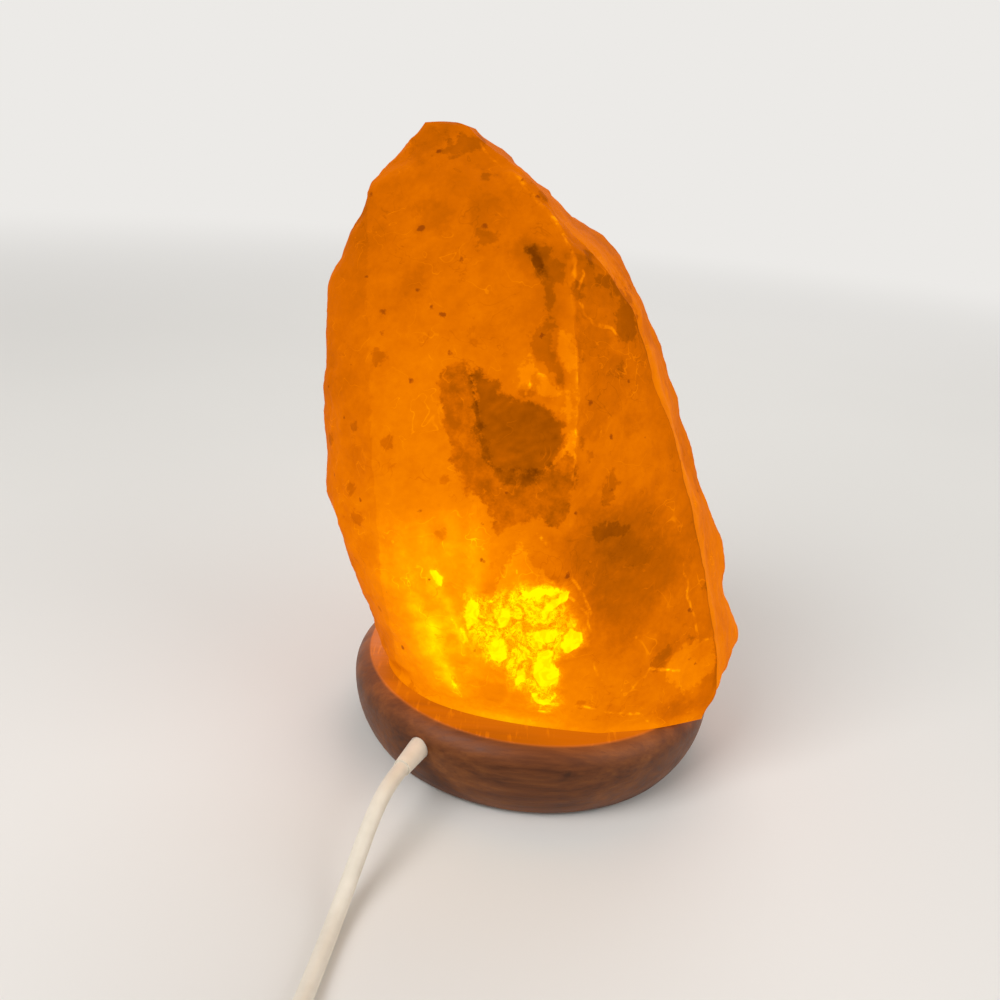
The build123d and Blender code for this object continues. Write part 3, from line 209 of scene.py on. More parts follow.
# Paths of (x, y, height above the base).
ridge_path = (
    (-22, -18, 170), (-14, -24, 163), (-7, -27, 157), (-2, -32, 148), (-1, -36, 139), (0, -40, 129),
    (1, -42, 121), (2, -46, 112), (3, -48, 105), (2, -50, 96), (3, -52, 88),
)
flake_lines = (
    ((-36, -1, 181), (-31, -11, 175), (-22, -18, 169), (-15, -19, 167), (-10, -22, 162), (-4, -22, 157),
     (0, -26, 152), (4, -28, 148)),
    ((-8, -27, 157), (-3, -28, 153), (1, -30, 149)),
    ((1, -32, 146), (0, -35, 140), (2, -36, 134), (6, -36, 131), (11, -33, 130), (15, -32, 126)),
    ((0, -56, 55), (8, -54, 49), (13, -53, 44), (16, -51, 32), (16, -51, 28), (20, -51, 20)),
    ((-7, -54, 72), (0, -55, 65), (9, -53, 53), (14, -52, 44)),
    ((-15, -44, 117), (-12, -42, 121), (-10, -44, 117), (-12, -46, 110)),
    ((-9, -44, 116), (-5, -44, 115), (-2, -46, 112), (-7, -46, 109)),
    ((31, -46, 33), (36, -43, 36), (43, -39, 34), (49, -37, 30), (56, -34, 29)),
    ((29, -49, 12), (33, -47, 19), (36, -46, 23), (47, -41, 20)),
    ((12, -54, 12), (21, -52, 9), (35, -48, 6), (39, -46, 2)),
    ((45, -32, 63), (43, -35, 57), (47, -36, 44), (53, -36, 29)),
    ((-20, -50, 5), (-4, -53, 6), (8, -53, 9)),
    ((-52, -34, 88), (-50, -36, 70), (-46, -42, 52)),
    ((-66, 30, 120), (-58, 34, 92), (-60, 34, 60), (-48, 42, 30)),
    ((10, 34, 128), (0, 42, 100), (6, 48, 70), (22, 46, 44)),
    ((60, 16, 40), (50, 26, 60), (40, 28, 86)),
)
bevel_path = (
    (-4, -32, 149), (3, -30, 149), (8, -27, 146), (14, -26, 141), (19, -25, 134), (22, -26, 127),
    (28, -27, 114),
    (34, -27, 100), (39, -28, 90), (47, -30, 67), (54, -31, 46), (60, -33, 27), (61, -35, 16), (58, -36, 6),
)
gash_path = ((-15, -31, 150), (-10, -34, 144), (-6, -38, 134), (-5, -41, 126), (-2, -45, 115), (-5, -46, 109))
left_band_path = (
    (-65, -23, 150), (-63, -29, 134), (-61, -33, 121), (-59, -37, 107), (-59, -40, 85), (-56, -43, 60),
)
# Where the bulb shows through as long bright streaks: a path, its half width and its strength.
bright_streaks = (
    (((-39, -51, 66), (-37, -52, 56), (-33, -53, 46)), 3.0, 0.06),
    (((-31, -54, 44), (-28, -54, 36), (-25, -54, 26)), 1.6, 0.08),
    (((-24, -55, 49), (-23, -55, 43), (-25, -55, 34)), 1.8, 0.08),
    (((-35, -51, 33), (-32, -51, 22), (-26, -50, 10)), 2.4, 0.10),
    (((-24, -53, 78), (-24, -54, 62), (-22, -55, 50)), 3.0, 0.07),
    (((-31, -53, 73), (-31, -53, 58)), 2.6, 0.05),
    (((-45, -48, 56), (-42, -50, 42), (-38, -50, 26)), 3.4, 0.05),
)
# Where the bulb's light comes through most: place, reach and strength, set against the photo's
# brightness on the front.
bulb_glows = (
    ((-45, -45, 104), 40.0, 0.09),
    ((-42, -47, 52), 28.0, 0.20),
    ((-34, -50, 22), 20.0, 0.20),
    ((-24, -52, 34), 12.0, 0.08),
    ((-4, -56, 34), 15.0, 0.10),
    ((-10, -52, 0), 24.0, 0.17),
    ((10, -52, 12), 16.0, 0.06),
    ((34, -44, 6), 20.0, 0.05),
    ((-22, -53, 62), 12.0, 0.08),
    ((5, -50, 100), 22.0, 0.03),
    ((0, 52, 40), 40.0, 0.24),
    ((70, 20, 20), 36.0, 0.08),
    ((-60, 25, 40), 34.0, 0.10),
)
# Small pits with reddish salt in them, on the front.
pit_places = (
    (-65, -14, 159), (-45, -11, 174), (-39, -37, 130), (-35, -32, 146), (-20, -32, 148), (-29, -28, 155),
    (-47, -41, 110), (-57, -34, 122), (-36, -41, 119), (7, -44, 109), (-14, -23, 164), (-22, -53, 71),
    (-7, -56, 36), (53, -35, 29), (50, -38, 23), (-41, -50, 73), (-21, -55, 60), (-21, -54, 28),
    (44, -39, 24),
    (48, -36, 40), (16, -46, 83), (-58, -33, 128),
)
# Bites out of the crystal's sides and edges: place, radius and depth.
edge_bites = (
    ((-60, -8, 170), 9.0, 1.2),
    ((-68, -9, 152), 8.0, 1.0),
    ((-74, -10, 140), 9.0, 1.0),
    ((-79, -10, 108), 12.0, 0.8),
    ((-77, -10, 68), 8.0, 1.3),
    ((-66, -10, 36), 9.0, 0.9),
    ((-16, 2, 168), 9.0, 1.3),
    ((-4, 4, 160), 8.0, 1.6),
    ((22, 5, 138), 10.0, 1.2),
    ((36, 6, 108), 10.0, 0.8),
    ((52, 6, 70), 9.0, 1.1),
    ((70, 6, 29), 9.0, 1.4),
    ((76, 4, 3), 5.0, 1.4),
    ((68, -22, 6), 7.0, 1.6),
    ((50, -42, 3), 7.0, 1.2),
    ((-44, -34, 3), 8.0, 1.0),
)

painted_light_side = (-0.45, -0.35, 0.82)  # painted light and shade: small facets turned this way are painted brighter, those turned away darker
base_mark_place = (12.0, -64.6, 22.0)  # a small dark mark on the base's side


# ---- noise and distances, as whole arrays --------------------------------------------------------
direction_count = 512  # random directions that the noise draws on
far_off = 500  # how far points are moved that a mark can't lie on


def gradient_noise(points, cell, seed):
    """Smooth noise of about -1 to 1: each whole-number place has a random direction, and a point takes the
    products of those directions with the ways to its eight nearest places, blended by a smooth step."""
    draw = np.random.default_rng(seed)
    directions = draw.normal(size=(direction_count, 3))
    directions /= np.linalg.norm(directions, axis=1)[:, None]
    shuffle = draw.permutation(direction_count)
    scaled = points / cell
    whole = np.floor(scaled).astype(np.int64)
    part = scaled - whole
    smooth = part**3 * (part * (part * 6 - 15) + 10)
    total = np.zeros(points.shape[:-1])
    for corner in np.ndindex(2, 2, 2):
        place = whole + np.array(corner)
        pick = 0
        for k in (2, 1, 0):
            pick = shuffle[(place[..., k] + pick) % direction_count]
        weight = np.prod(np.where(corner, smooth, 1 - smooth), axis=-1)
        total += weight * np.sum(directions[pick] * (part - np.array(corner)), axis=-1)
    return total * 1.6


def fractal(points, cell, octaves, seed, gain=0.5):
    """Gradient noise added at finer and finer cells, each octave half as large and gain times as strong."""
    return sum(gradient_noise(points, cell / 2**k, seed + k) * gain**k for k in range(octaves))


def creased(points, cell, octaves, seed):
    """Noise folded at zero, so that it has sharp valleys between rounded crests: 1 minus its size."""
    return 1 - np.abs(fractal(points, cell, octaves, seed)) * 2


def soft_step(value, low, high):
    """0 below low, 1 above high, and a smooth cubic in between."""
    t = np.clip((value - low) / (high - low), 0, 1)
    return t * t * (3 - 2 * t)


def path_distance(points, path):
    """Least distance from each point to a path of straight runs."""
    path = np.asarray(path, float)
    least = np.full(points.shape[:-1], np.inf)
    for start, end in zip(path, path[1:]):
        run = end - start
        along = np.clip((points - start) @ run / (run @ run), 0, 1)
        least = np.minimum(least, np.linalg.norm(points - start - along[..., None] * run, axis=-1))
    return least


def nearest(points, places):
    """Distance from each point to the nearest of some places."""
    return np.min([np.linalg.norm(points - np.array(place, float), axis=-1) for place in places], axis=0)


def depth_inside(points, outline):
    """Distance to a closed outline, positive inside: the least distance to its sides, and a point is
    inside when a level ray from it crosses the sides an odd number of times."""
    outline = np.asarray(outline, float)
    crossed = np.zeros(points.shape[:-1], bool)
    for a, b in zip(outline, np.roll(outline, -1, axis=0)):
        spans = (a[1] > points[..., 1]) != (b[1] > points[..., 1])
        rise = b[1] - a[1] if b[1] != a[1] else 1e-9
        crossed ^= spans & (points[..., 0] < (b[0] - a[0]) * (points[..., 1] - a[1]) / rise + a[0])
    distance = path_distance(points, np.vstack([outline, outline[:1]]))
    return np.where(crossed, distance, -distance)


def depth_in_any(points, outlines):
    """The greatest depth inside any of the outlines."""
    return np.max([depth_inside(points, outline) for outline in outlines], axis=0)


def seen_from(points, side):
    """The (x, height) of points on the front, where side is -1, or on the back; the rest are moved far
    off."""
    flat = points[..., [0, 2]].copy()
    flat[..., 0] += np.where(points[..., 1] * side < 0, far_off, 0)
    return flat


def scattered(points, count, least, most, seed):
    """Depth inside round spots dropped at random on the surface: each spot's radius less the distance
    to it."""
    draw = np.random.default_rng(seed)
    depth = np.full(len(points), -np.inf)
    for place in points[draw.integers(0, len(points), count)]:
        depth = np.maximum(depth, draw.uniform(least, most) - np.linalg.norm(points - place, axis=1))
    return depth


# ---- mesh making ---------------------------------------------------------------------------------
mark_limit = 50  # stored numbers go no further than this from 0


def ring_faces(rings, columns):
    """Quads between neighbouring rings of a closed grid, as one array of vertex numbers."""
    row, column = np.meshgrid(np.arange(rings - 1), np.arange(columns), indexing="ij")
    beside = (column + 1) % columns
    low, high = row * columns, (row + 1) * columns
    return np.stack([low + column, low + beside, high + beside, high + column], axis=-1).reshape(-1, 4)


def closed_skin(name, rings, start_pole, end_pole):
    """A mesh through rings of points, closed with a fan of triangles to a pole at each end."""
    count, columns, _ = rings.shape
    points = np.vstack([rings.reshape(-1, 3), [start_pole], [end_pole]]) * MM
    quads = ring_faces(count, columns)
    here = np.arange(columns)
    beside = (here + 1) % columns
    start_fan = np.stack([beside, here, np.full(columns, count * columns)], axis=-1)
    last = (count - 1) * columns
    end_fan = np.stack([here + last, beside + last, np.full(columns, count * columns + 1)], axis=-1)
    mesh = bpy.data.meshes.new(name)
    mesh.from_pydata(points.tolist(), [], quads.tolist() + start_fan.tolist() + end_fan.tolist())
    mesh.shade_smooth()
    mesh.update()
    piece = bpy.data.objects.new(name, mesh)
    bpy.context.scene.collection.objects.link(piece)
    return piece


def store(piece, name, values):
    """Keep one number per vertex on a piece, for its material."""
    layer = piece.data.attributes.new(name, "FLOAT", "POINT")
    layer.data.foreach_set("value", np.clip(np.asarray(values, np.float32).ravel(), -mark_limit, mark_limit))


# ---- crystal's surface ---------------------------------------------------------------------------
def section_tracks(heights):
    """Each measure of the outline at these heights: straight between sections, then averaged over a few
    millimetres of height so that the breaks are soft."""
    rows = [
        [h, *left, *right, *ridge, *bevel, back] for h, left, right, ridge, bevel, back in crystal_sections
    ]
    table = np.array(rows)
    shifts = np.linspace(-soft_break, soft_break, 7)
    moved = np.clip(heights[None, :] + shifts[:, None], 0, crystal_height)
    return [np.interp(moved, table[:, 0], table[:, k]).mean(axis=0)[:, None] for k in range(1, 10)]


def crystal_outside(heights):
    """Rings round the crystal, anticlockwise from above from its left side: a bulging quarter to the
    ridge, a nearly flat face to the bevel edge, a straight bevel to the right side and a bulging half
    round the back."""
    left_x, left_y, right_x, right_y, ridge_x, ridge_y, bevel_x, bevel_y, back_y = section_tracks(heights)
    turn = np.linspace(0, math.pi / 2, left_columns, endpoint=False)
    x = [ridge_x + (left_x - ridge_x) * np.cos(turn) ** squareness]
    y = [left_y + (ridge_y - left_y) * np.sin(turn) ** squareness]
    share = np.linspace(0, 1, face_columns, endpoint=False)
    face_x, face_y = bevel_x - ridge_x, bevel_y - ridge_y
    bulge = face_bulge * np.sin(math.pi * share) / np.hypot(face_x, face_y)
    x.append(ridge_x + face_x * share + face_y * bulge)
    y.append(ridge_y + face_y * share - face_x * bulge)
    share = np.linspace(0, 1, bevel_columns, endpoint=False)
    x.append(bevel_x + (right_x - bevel_x) * share)
    y.append(bevel_y + (right_y - bevel_y) * share)
    turn = np.linspace(0, math.pi, back_columns, endpoint=False)
    reach = np.interp(turn, np.linspace(0, math.pi, len(back_chips)), back_chips)
    middle = (left_x + right_x) / 2
    side_x = np.where(turn < math.pi / 2, right_x, left_x)
    side_y = np.where(turn < math.pi / 2, right_y, left_y)
    x.append(middle + (side_x - middle) * np.abs(np.cos(turn)) ** squareness * reach)
    y.append(side_y + (back_y - side_y) * np.sin(turn) ** squareness * reach)
    x, y = np.hstack(x), np.hstack(y)
    return np.stack([x, y, np.broadcast_to(heights[:, None], x.shape)], axis=-1)


def hollowed(rings):
    """The rings with the broad hollows taken in towards each ring's middle: a hollow's depth falls off
    with the square of the distance from its middle."""
    depth = np.zeros(rings.shape[:-1])
    for middle, reach, most in crystal_hollows:
        share = np.linalg.norm(rings - np.array(middle), axis=-1) / reach
        depth += most * np.clip(1 - share**2, 0, None)
    centre = (rings[:, 0, 0] + rings[:, left_columns + face_columns + bevel_columns, 0])[:, None] / 2
    keep = 1 - depth / np.hypot(rings[..., 0] - centre, rings[..., 1])
    x = centre + (rings[..., 0] - centre) * keep
    return np.stack([x, rings[..., 1] * keep, rings[..., 2]], axis=-1)


def outward(rings):
    """Unit normals of a grid of rings, from the differences round and along it."""
    around = np.roll(rings, -1, axis=1) - np.roll(rings, 1, axis=1)
    along = np.gradient(rings, axis=0)
    normal = np.cross(around, along)
    return normal / np.maximum(np.linalg.norm(normal, axis=-1, keepdims=True), 1e-9)


def past_bevel(rings):
    """Signed distance from the bevel's edge: positive on the bevel, negative on the face in front of it."""
    sign = np.full(rings.shape[1], -1.0)
    sign[left_columns + face_columns :] = 1.0
    return path_distance(rings, bevel_path) * sign


def crystal_relief(rings):
    """How far the surface stands out from its plain outline, and the fine part of that alone: broad swells,
    scooped chips and bites, the ridge's crest with the gash beside it, the sunken crumbly mud, the crumpled
    crackle over the bulb and the small step down to the bevel."""
    height = rings[..., 2]
    flat = rings.reshape(-1, 3)
    broad = fractal(rings, 22.0, 2, 11) * 0.8 - 0.4
    scoops = np.maximum(scattered(flat, 150, 4.0, 13.0, 5), 0) ** 0.8 * 0.11
    broad -= scoops.reshape(height.shape)
    for place, radius, depth in edge_bites:
        away = np.linalg.norm(rings - np.array(place, float), axis=-1) / radius
        broad -= depth * np.clip(1 - away**2, 0, 1)
    fine = fractal(rings, 8.0, 3, 23) * 0.4 + fractal(rings, 2.4, 2, 37) * 0.12
    front = seen_from(rings, -1)
    crest = np.exp(-((path_distance(rings, ridge_path) / 1.5) ** 2))
    fine += (0.7 + 0.7 * fractal(rings, 4.0, 2, 43)) * crest
    gash = path_distance(rings, gash_path) + fractal(rings, 5.0, 2, 41)
    fine -= 1.3 * np.exp(-((gash / 2.2) ** 2))
    mud = depth_inside(front, mud_patch) + fractal(rings, 5.0, 3, 47) * 1.5
    fine -= soft_step(mud, -0.6, 1.6) * (1.1 + 0.8 * fractal(rings, 3.5, 3, 53))
    crackle = soft_step(depth_inside(front, crackled_face), -1.5, 2.0)
    fine += crackle * (creased(rings, 5.0, 3, 61) * 0.9 - 0.8)
    fine += 0.5 * soft_step(depth_in_any(front, bright_facets), -0.3, 0.6)
    past = past_bevel(rings)
    fine -= 1.0 * soft_step(past, -0.3, 0.9) * soft_step(past, 9.0, 2.0) * soft_step(height, 150, 125)
    shown = soft_step(height, 0.0, 2.0)
    return (broad + fine) * shown, fine * shown


def build_crystal():
    """The closed skin of the salt block: up its bore, over its underside and up its outside."""
    heights = np.linspace(0, crystal_height, outside_rows)
    outside = hollowed(crystal_outside(heights))
    plain = outside.copy()
    relief, fine = crystal_relief(plain)
    outside += outward(outside) * relief[..., None]
    crown = outside[-1]
    middle = crown.mean(axis=0)
    shrink = np.linspace(0, 1, 9)[1:-1, None, None]
    cap = crown + (middle - crown) * shrink
    cap[..., 2] += np.sin(shrink[..., 0] * math.pi / 2)
    foot = outside[0]
    angle = np.arctan2(foot[:, 1], foot[:, 0])
    circle = np.stack([np.cos(angle), np.sin(angle), np.zeros_like(angle)], axis=-1)
    up = np.array([0.0, 0.0, 1.0])
    bore = [circle * bore_radius * s + up * (bore_depth + drill_point * (1 - s)) for s in (0.3, 0.65)]
    bore += [circle * bore_radius + up * h for h in np.linspace(bore_depth, 0, 8)]
    under = [circle * bore_radius + (foot - circle * bore_radius) * s for s in (0.3, 0.6, 0.85, 0.96)]
    rings = np.concatenate([np.array(bore), np.array(under), outside, cap])
    shift = up * base_top
    bore_tip = up * (bore_depth + drill_point)
    piece = closed_skin("salt_block", rings + shift, bore_tip + shift, middle + up + shift)
    before, after = len(bore) + len(under), len(cap)
    marked = np.concatenate([rings[:before], plain, cap]).reshape(-1, 3)
    marked = np.vstack([marked, [bore_tip, middle]])
    crystal_marks(piece, marked)

    def everywhere(values, rest=0):
        """Values on the outside, with one value for the rest of the piece's vertices."""
        padded = np.pad(values, ((before, after), (0, 0)), constant_values=rest)
        return np.append(padded.ravel(), [rest, rest])

    store(piece, "relief", everywhere(fine))
    # How far each small facet turns towards one fixed side, for painted light and shade on the facets.
    store(piece, "tilt", everywhere((outward(outside) - outward(plain)) @ np.array(painted_light_side)))
    store(piece, "past_bevel", everywhere(past_bevel(plain), -mark_limit))
    piece.data.materials.append(finishes["rock_salt"])
    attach(piece, "root")
    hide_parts("salt_crystal")


def crystal_marks(piece, points):
    """Numbers for the material: the light that comes through, and the depth inside each kind of mark."""
    lit = 0.5 + 0.02 * soft_step(points[:, 2], 150, 40)
    for place, reach, strength in bulb_glows:
        lit += strength * np.exp(-((np.linalg.norm(points - np.array(place, float), axis=1) / reach) ** 2))
    for path, half_width, strength in bright_streaks:
        lit += strength * np.exp(-((path_distance(points, path) / half_width) ** 2))
    store(piece, "lit", lit)
    front, back = seen_from(points, -1), seen_from(points, 1)
    store(piece, "mud", depth_inside(front, mud_patch))
    store(piece, "crumbly", depth_in_any(front, crumbly_patches))
    store(piece, "stain", np.maximum(depth_in_any(front, stain_patches), scattered(points, 34, 0.6, 2.6, 71)))
    store(piece, "faint", np.maximum(depth_in_any(front, faint_patches), scattered(points, 40, 2.0, 6.5, 73)))
    shade_spots = scattered(points, 7, 6.0, 13.0, 79) - 4
    store(piece, "shaded", np.maximum(depth_inside(front, shaded_face), shade_spots))
    store(piece, "dark_core", depth_inside(front, dark_core))
    store(piece, "clear", depth_in_any(front, clear_flakes))
    hot = np.maximum(depth_inside(front, crackled_face), depth_inside(back, back_crackle))
    store(piece, "crackled", hot)
    slivers = depth_in_any(front, bright_slivers) - 0.3
    store(piece, "facets", np.maximum(depth_in_any(front, bright_facets), slivers))
    store(piece, "pits", np.maximum(0.7 - nearest(points, pit_places), scattered(points, 46, 0.1, 0.7, 83)))
    wander = fractal(points, 7.0, 3, 97)[:, None] * np.array([1.1, 0.6, -1.1])
    store(piece, "ridge", path_distance(points + wander * 0.8, ridge_path))
    store(piece, "flake_line", np.min([path_distance(points + wander, path) for path in flake_lines], axis=0))
    band = path_distance(points, left_band_path)
    store(piece, "left_band", np.where(points[:, 0] < -0.12 * points[:, 2] - 47, band, -band))


# ---- materials -----------------------------------------------------------------------------------
def srgb(red, green, blue):
    """A screen colour of 0 to 255 as the linear values that a shader takes."""
    channel = [c / 255 for c in (red, green, blue)]
    return [c / 12.92 if c <= 0.04045 else ((c + 0.055) / 1.055) ** 2.4 for c in channel] + [1.0]


class Finish:
    """A procedural material: a Principled shader with its pattern nodes, on Object coordinates."""

    def __init__(self, name, **sockets):
        self.material = bpy.data.materials.new(name)
        self.material.use_nodes = True
        self.tree = self.material.node_tree
        self.shader = self.tree.nodes["Principled BSDF"]
        self.place = self.add("ShaderNodeTexCoord").outputs["Object"]
        for socket, value in sockets.items():
            self.shader.inputs[socket.replace("_", " ")].default_value = value

    def add(self, kind, **settings):
        """A new node with these settings."""
        node = self.tree.nodes.new(kind)
        for key, value in settings.items():
            setattr(node, key, value)
        return node

    def feed(self, socket, value):
        """Link a socket to another, or set it to a number."""
        if isinstance(value, bpy.types.NodeSocket):
            self.tree.links.new(value, socket)
        else:
            socket.default_value = value

    def sum(self, operation, a, b=0.0, c=0.0, clamp=False):
        """The result of a Math node."""
        node = self.add("ShaderNodeMath", operation=operation, use_clamp=clamp)
        for socket, value in zip(node.inputs, (a, b, c)):
            self.feed(socket, value)
        return node.outputs[0]

    def total(self, *terms):
        """The terms added up, in their order."""
        result = terms[0]
        for term in terms[1:]:
            result = self.sum("ADD", result, term)
        return result

    def range(self, value, low, high, to_low=0.0, to_high=1.0, smooth=False):
        """The value taken from low..high to to_low..to_high, and held at those ends."""
        node = self.add("ShaderNodeMapRange")
        if smooth:
            node.interpolation_type = "SMOOTHSTEP"
        for socket, number in zip(node.inputs, (value, low, high, to_low, to_high)):
            self.feed(socket, number)
        return node.outputs[0]

    def height(self):
        """Height in metres above the table."""
        node = self.add("ShaderNodeSeparateXYZ")
        self.feed(node.inputs[0], self.place)
        return node.outputs["Z"]

    def noise(self, size, detail=3.0, roughness=0.55, stretch=(1, 1, 1), turn=(0, 0, 0), distortion=0.0):
        """Noise whose features are about size millimetres across, drawn out where stretch is above 1."""
        mapping = self.add("ShaderNodeMapping")
        self.feed(mapping.inputs["Vector"], self.place)
        mapping.inputs["Rotation"].default_value = [math.radians(a) for a in turn]
        mapping.inputs["Scale"].default_value = [1 / s for s in stretch]
        node = self.add("ShaderNodeTexNoise")
        self.feed(node.inputs["Vector"], mapping.outputs[0])
        node.inputs["Scale"].default_value = 1 / (size * MM)
        node.inputs["Detail"].default_value = detail
        node.inputs["Roughness"].default_value = roughness
        node.inputs["Distortion"].default_value = distortion
        return node.outputs[0]

    def mark(self, name):
        """A number stored on the piece's vertices."""
        return self.add("ShaderNodeAttribute", attribute_name=name).outputs["Fac"]

    def ramp(self, value, *stops):
        """Colour along a row of (place, colour) stops."""
        node = self.add("ShaderNodeValToRGB")
        self.feed(node.inputs[0], value)
        line = node.color_ramp.elements
        while len(line) < len(stops):
            line.new(0.5)
        for element, (place, colour) in zip(line, stops):
            element.position = place
            element.color = srgb(*colour)
        return node.outputs[0]

    def blend(self, share, a, b):
        """Mix two colours."""
        node = self.add("ShaderNodeMix", data_type="RGBA")
        self.feed(node.inputs[0], share)
        self.feed(node.inputs[6], a)
        self.feed(node.inputs[7], b)
        return node.outputs[2]

    def colour(self, value):
        """Set or link the base colour."""
        self.feed(self.shader.inputs["Base Color"], value)

    def rough(self, value):
        """Set or link the roughness."""
        self.feed(self.shader.inputs["Roughness"], value)

    def bump(self, height, depth, strength=1.0):
        """Raise the surface by the height, where 1 is depth millimetres."""
        node = self.add("ShaderNodeBump")
        node.inputs["Strength"].default_value = strength
        node.inputs["Distance"].default_value = depth * MM
        self.feed(node.inputs["Height"], height)
        self.feed(self.shader.inputs["Normal"], node.outputs[0])


def through_salt(f, lit):
    """The light that comes through, broken up as the salt is: a soft cloud, mottling, grain, thin lines
    along the flakes, and brighter or darker streaks; with painted light on the relief's crests and painted
    shade in its hollows, and small facets painted lighter or darker by the way they turn."""
    mottle, grain = f.noise(6, 5, 0.62), f.noise(1.4, 3, 0.6)
    near_half = f.sum("ABSOLUTE", f.sum("SUBTRACT", f.noise(10, 2, 0.5, distortion=0.6), 0.5))
    broken = f.range(f.noise(13, 2), 0.48, 0.6)
    lit = f.total(
        lit,
        f.range(f.noise(24, 3, 0.5), 0.3, 0.7, -0.025, 0.025),
        f.range(mottle, 0.3, 0.7, -0.02, 0.02),
        f.range(grain, 0.3, 0.7, -0.014, 0.014),
        # Painted light on the relief's crests and painted shade in its hollows.
        f.range(f.mark("relief"), -1.6, 1.2, -0.07, 0.055),
        # Painted light and shade: small facets turned up, left and to the front are brighter, those turned
        # away darker.
        f.range(f.mark("tilt"), -0.5, 0.5, -0.06, 0.06),
        f.sum("MULTIPLY", f.range(near_half, 0.001, 0.008, 0.10, 0.0, smooth=True), broken),
    )
    dark_half = f.sum("ABSOLUTE", f.sum("SUBTRACT", f.noise(17, 3, 0.55, distortion=0.9), 0.5))
    rare = f.range(f.noise(21, 2), 0.5, 0.58)
    dark_line = f.sum("MULTIPLY", f.range(dark_half, 0.001, 0.006, 0.06, 0.0, smooth=True), rare)
    lit = f.sum("SUBTRACT", lit, dark_line)
    flecks = f.range(f.noise(3.2, 4, 0.7), 0.60, 0.68, 0.0, 0.05)
    return f.sum("SUBTRACT", lit, f.sum("MULTIPLY", flecks, rare)), mottle, grain


def crackle_over_bulb(f, lit, ragged):
    """Where the bulb is nearest, the salt is a bright crackle: folds and creases of amber and yellow,
    and crisp facets that shine straight through."""
    wander = f.sum("MULTIPLY", ragged, 0.8)
    share = f.range(f.sum("ADD", f.mark("crackled"), wander), -3.2, 2.0, smooth=True)
    folds = f.range(f.noise(4.4, 3, 0.55, stretch=(1, 1, 1.4), distortion=1.8), 0.40, 0.60)
    near_half = f.sum("ABSOLUTE", f.sum("SUBTRACT", f.noise(5.5, 3, 0.58, distortion=2.6), 0.5))
    crease = f.range(near_half, 0.0, 0.035, 0.13, 0.0, smooth=True)
    bright = f.sum("SUBTRACT", f.sum("MULTIPLY_ADD", folds, 0.15, 0.82), crease)
    lit = f.sum("MULTIPLY_ADD", share, f.sum("SUBTRACT", bright, lit), lit)
    facets = f.sum("ADD", f.mark("facets"), f.sum("MULTIPLY", ragged, 0.35))
    shining = f.range(facets, -0.35, 0.35, smooth=True)
    top = f.range(folds, 0.0, 1.0, 0.95, 1.02)
    return f.sum("MULTIPLY_ADD", shining, f.sum("SUBTRACT", top, lit), lit)


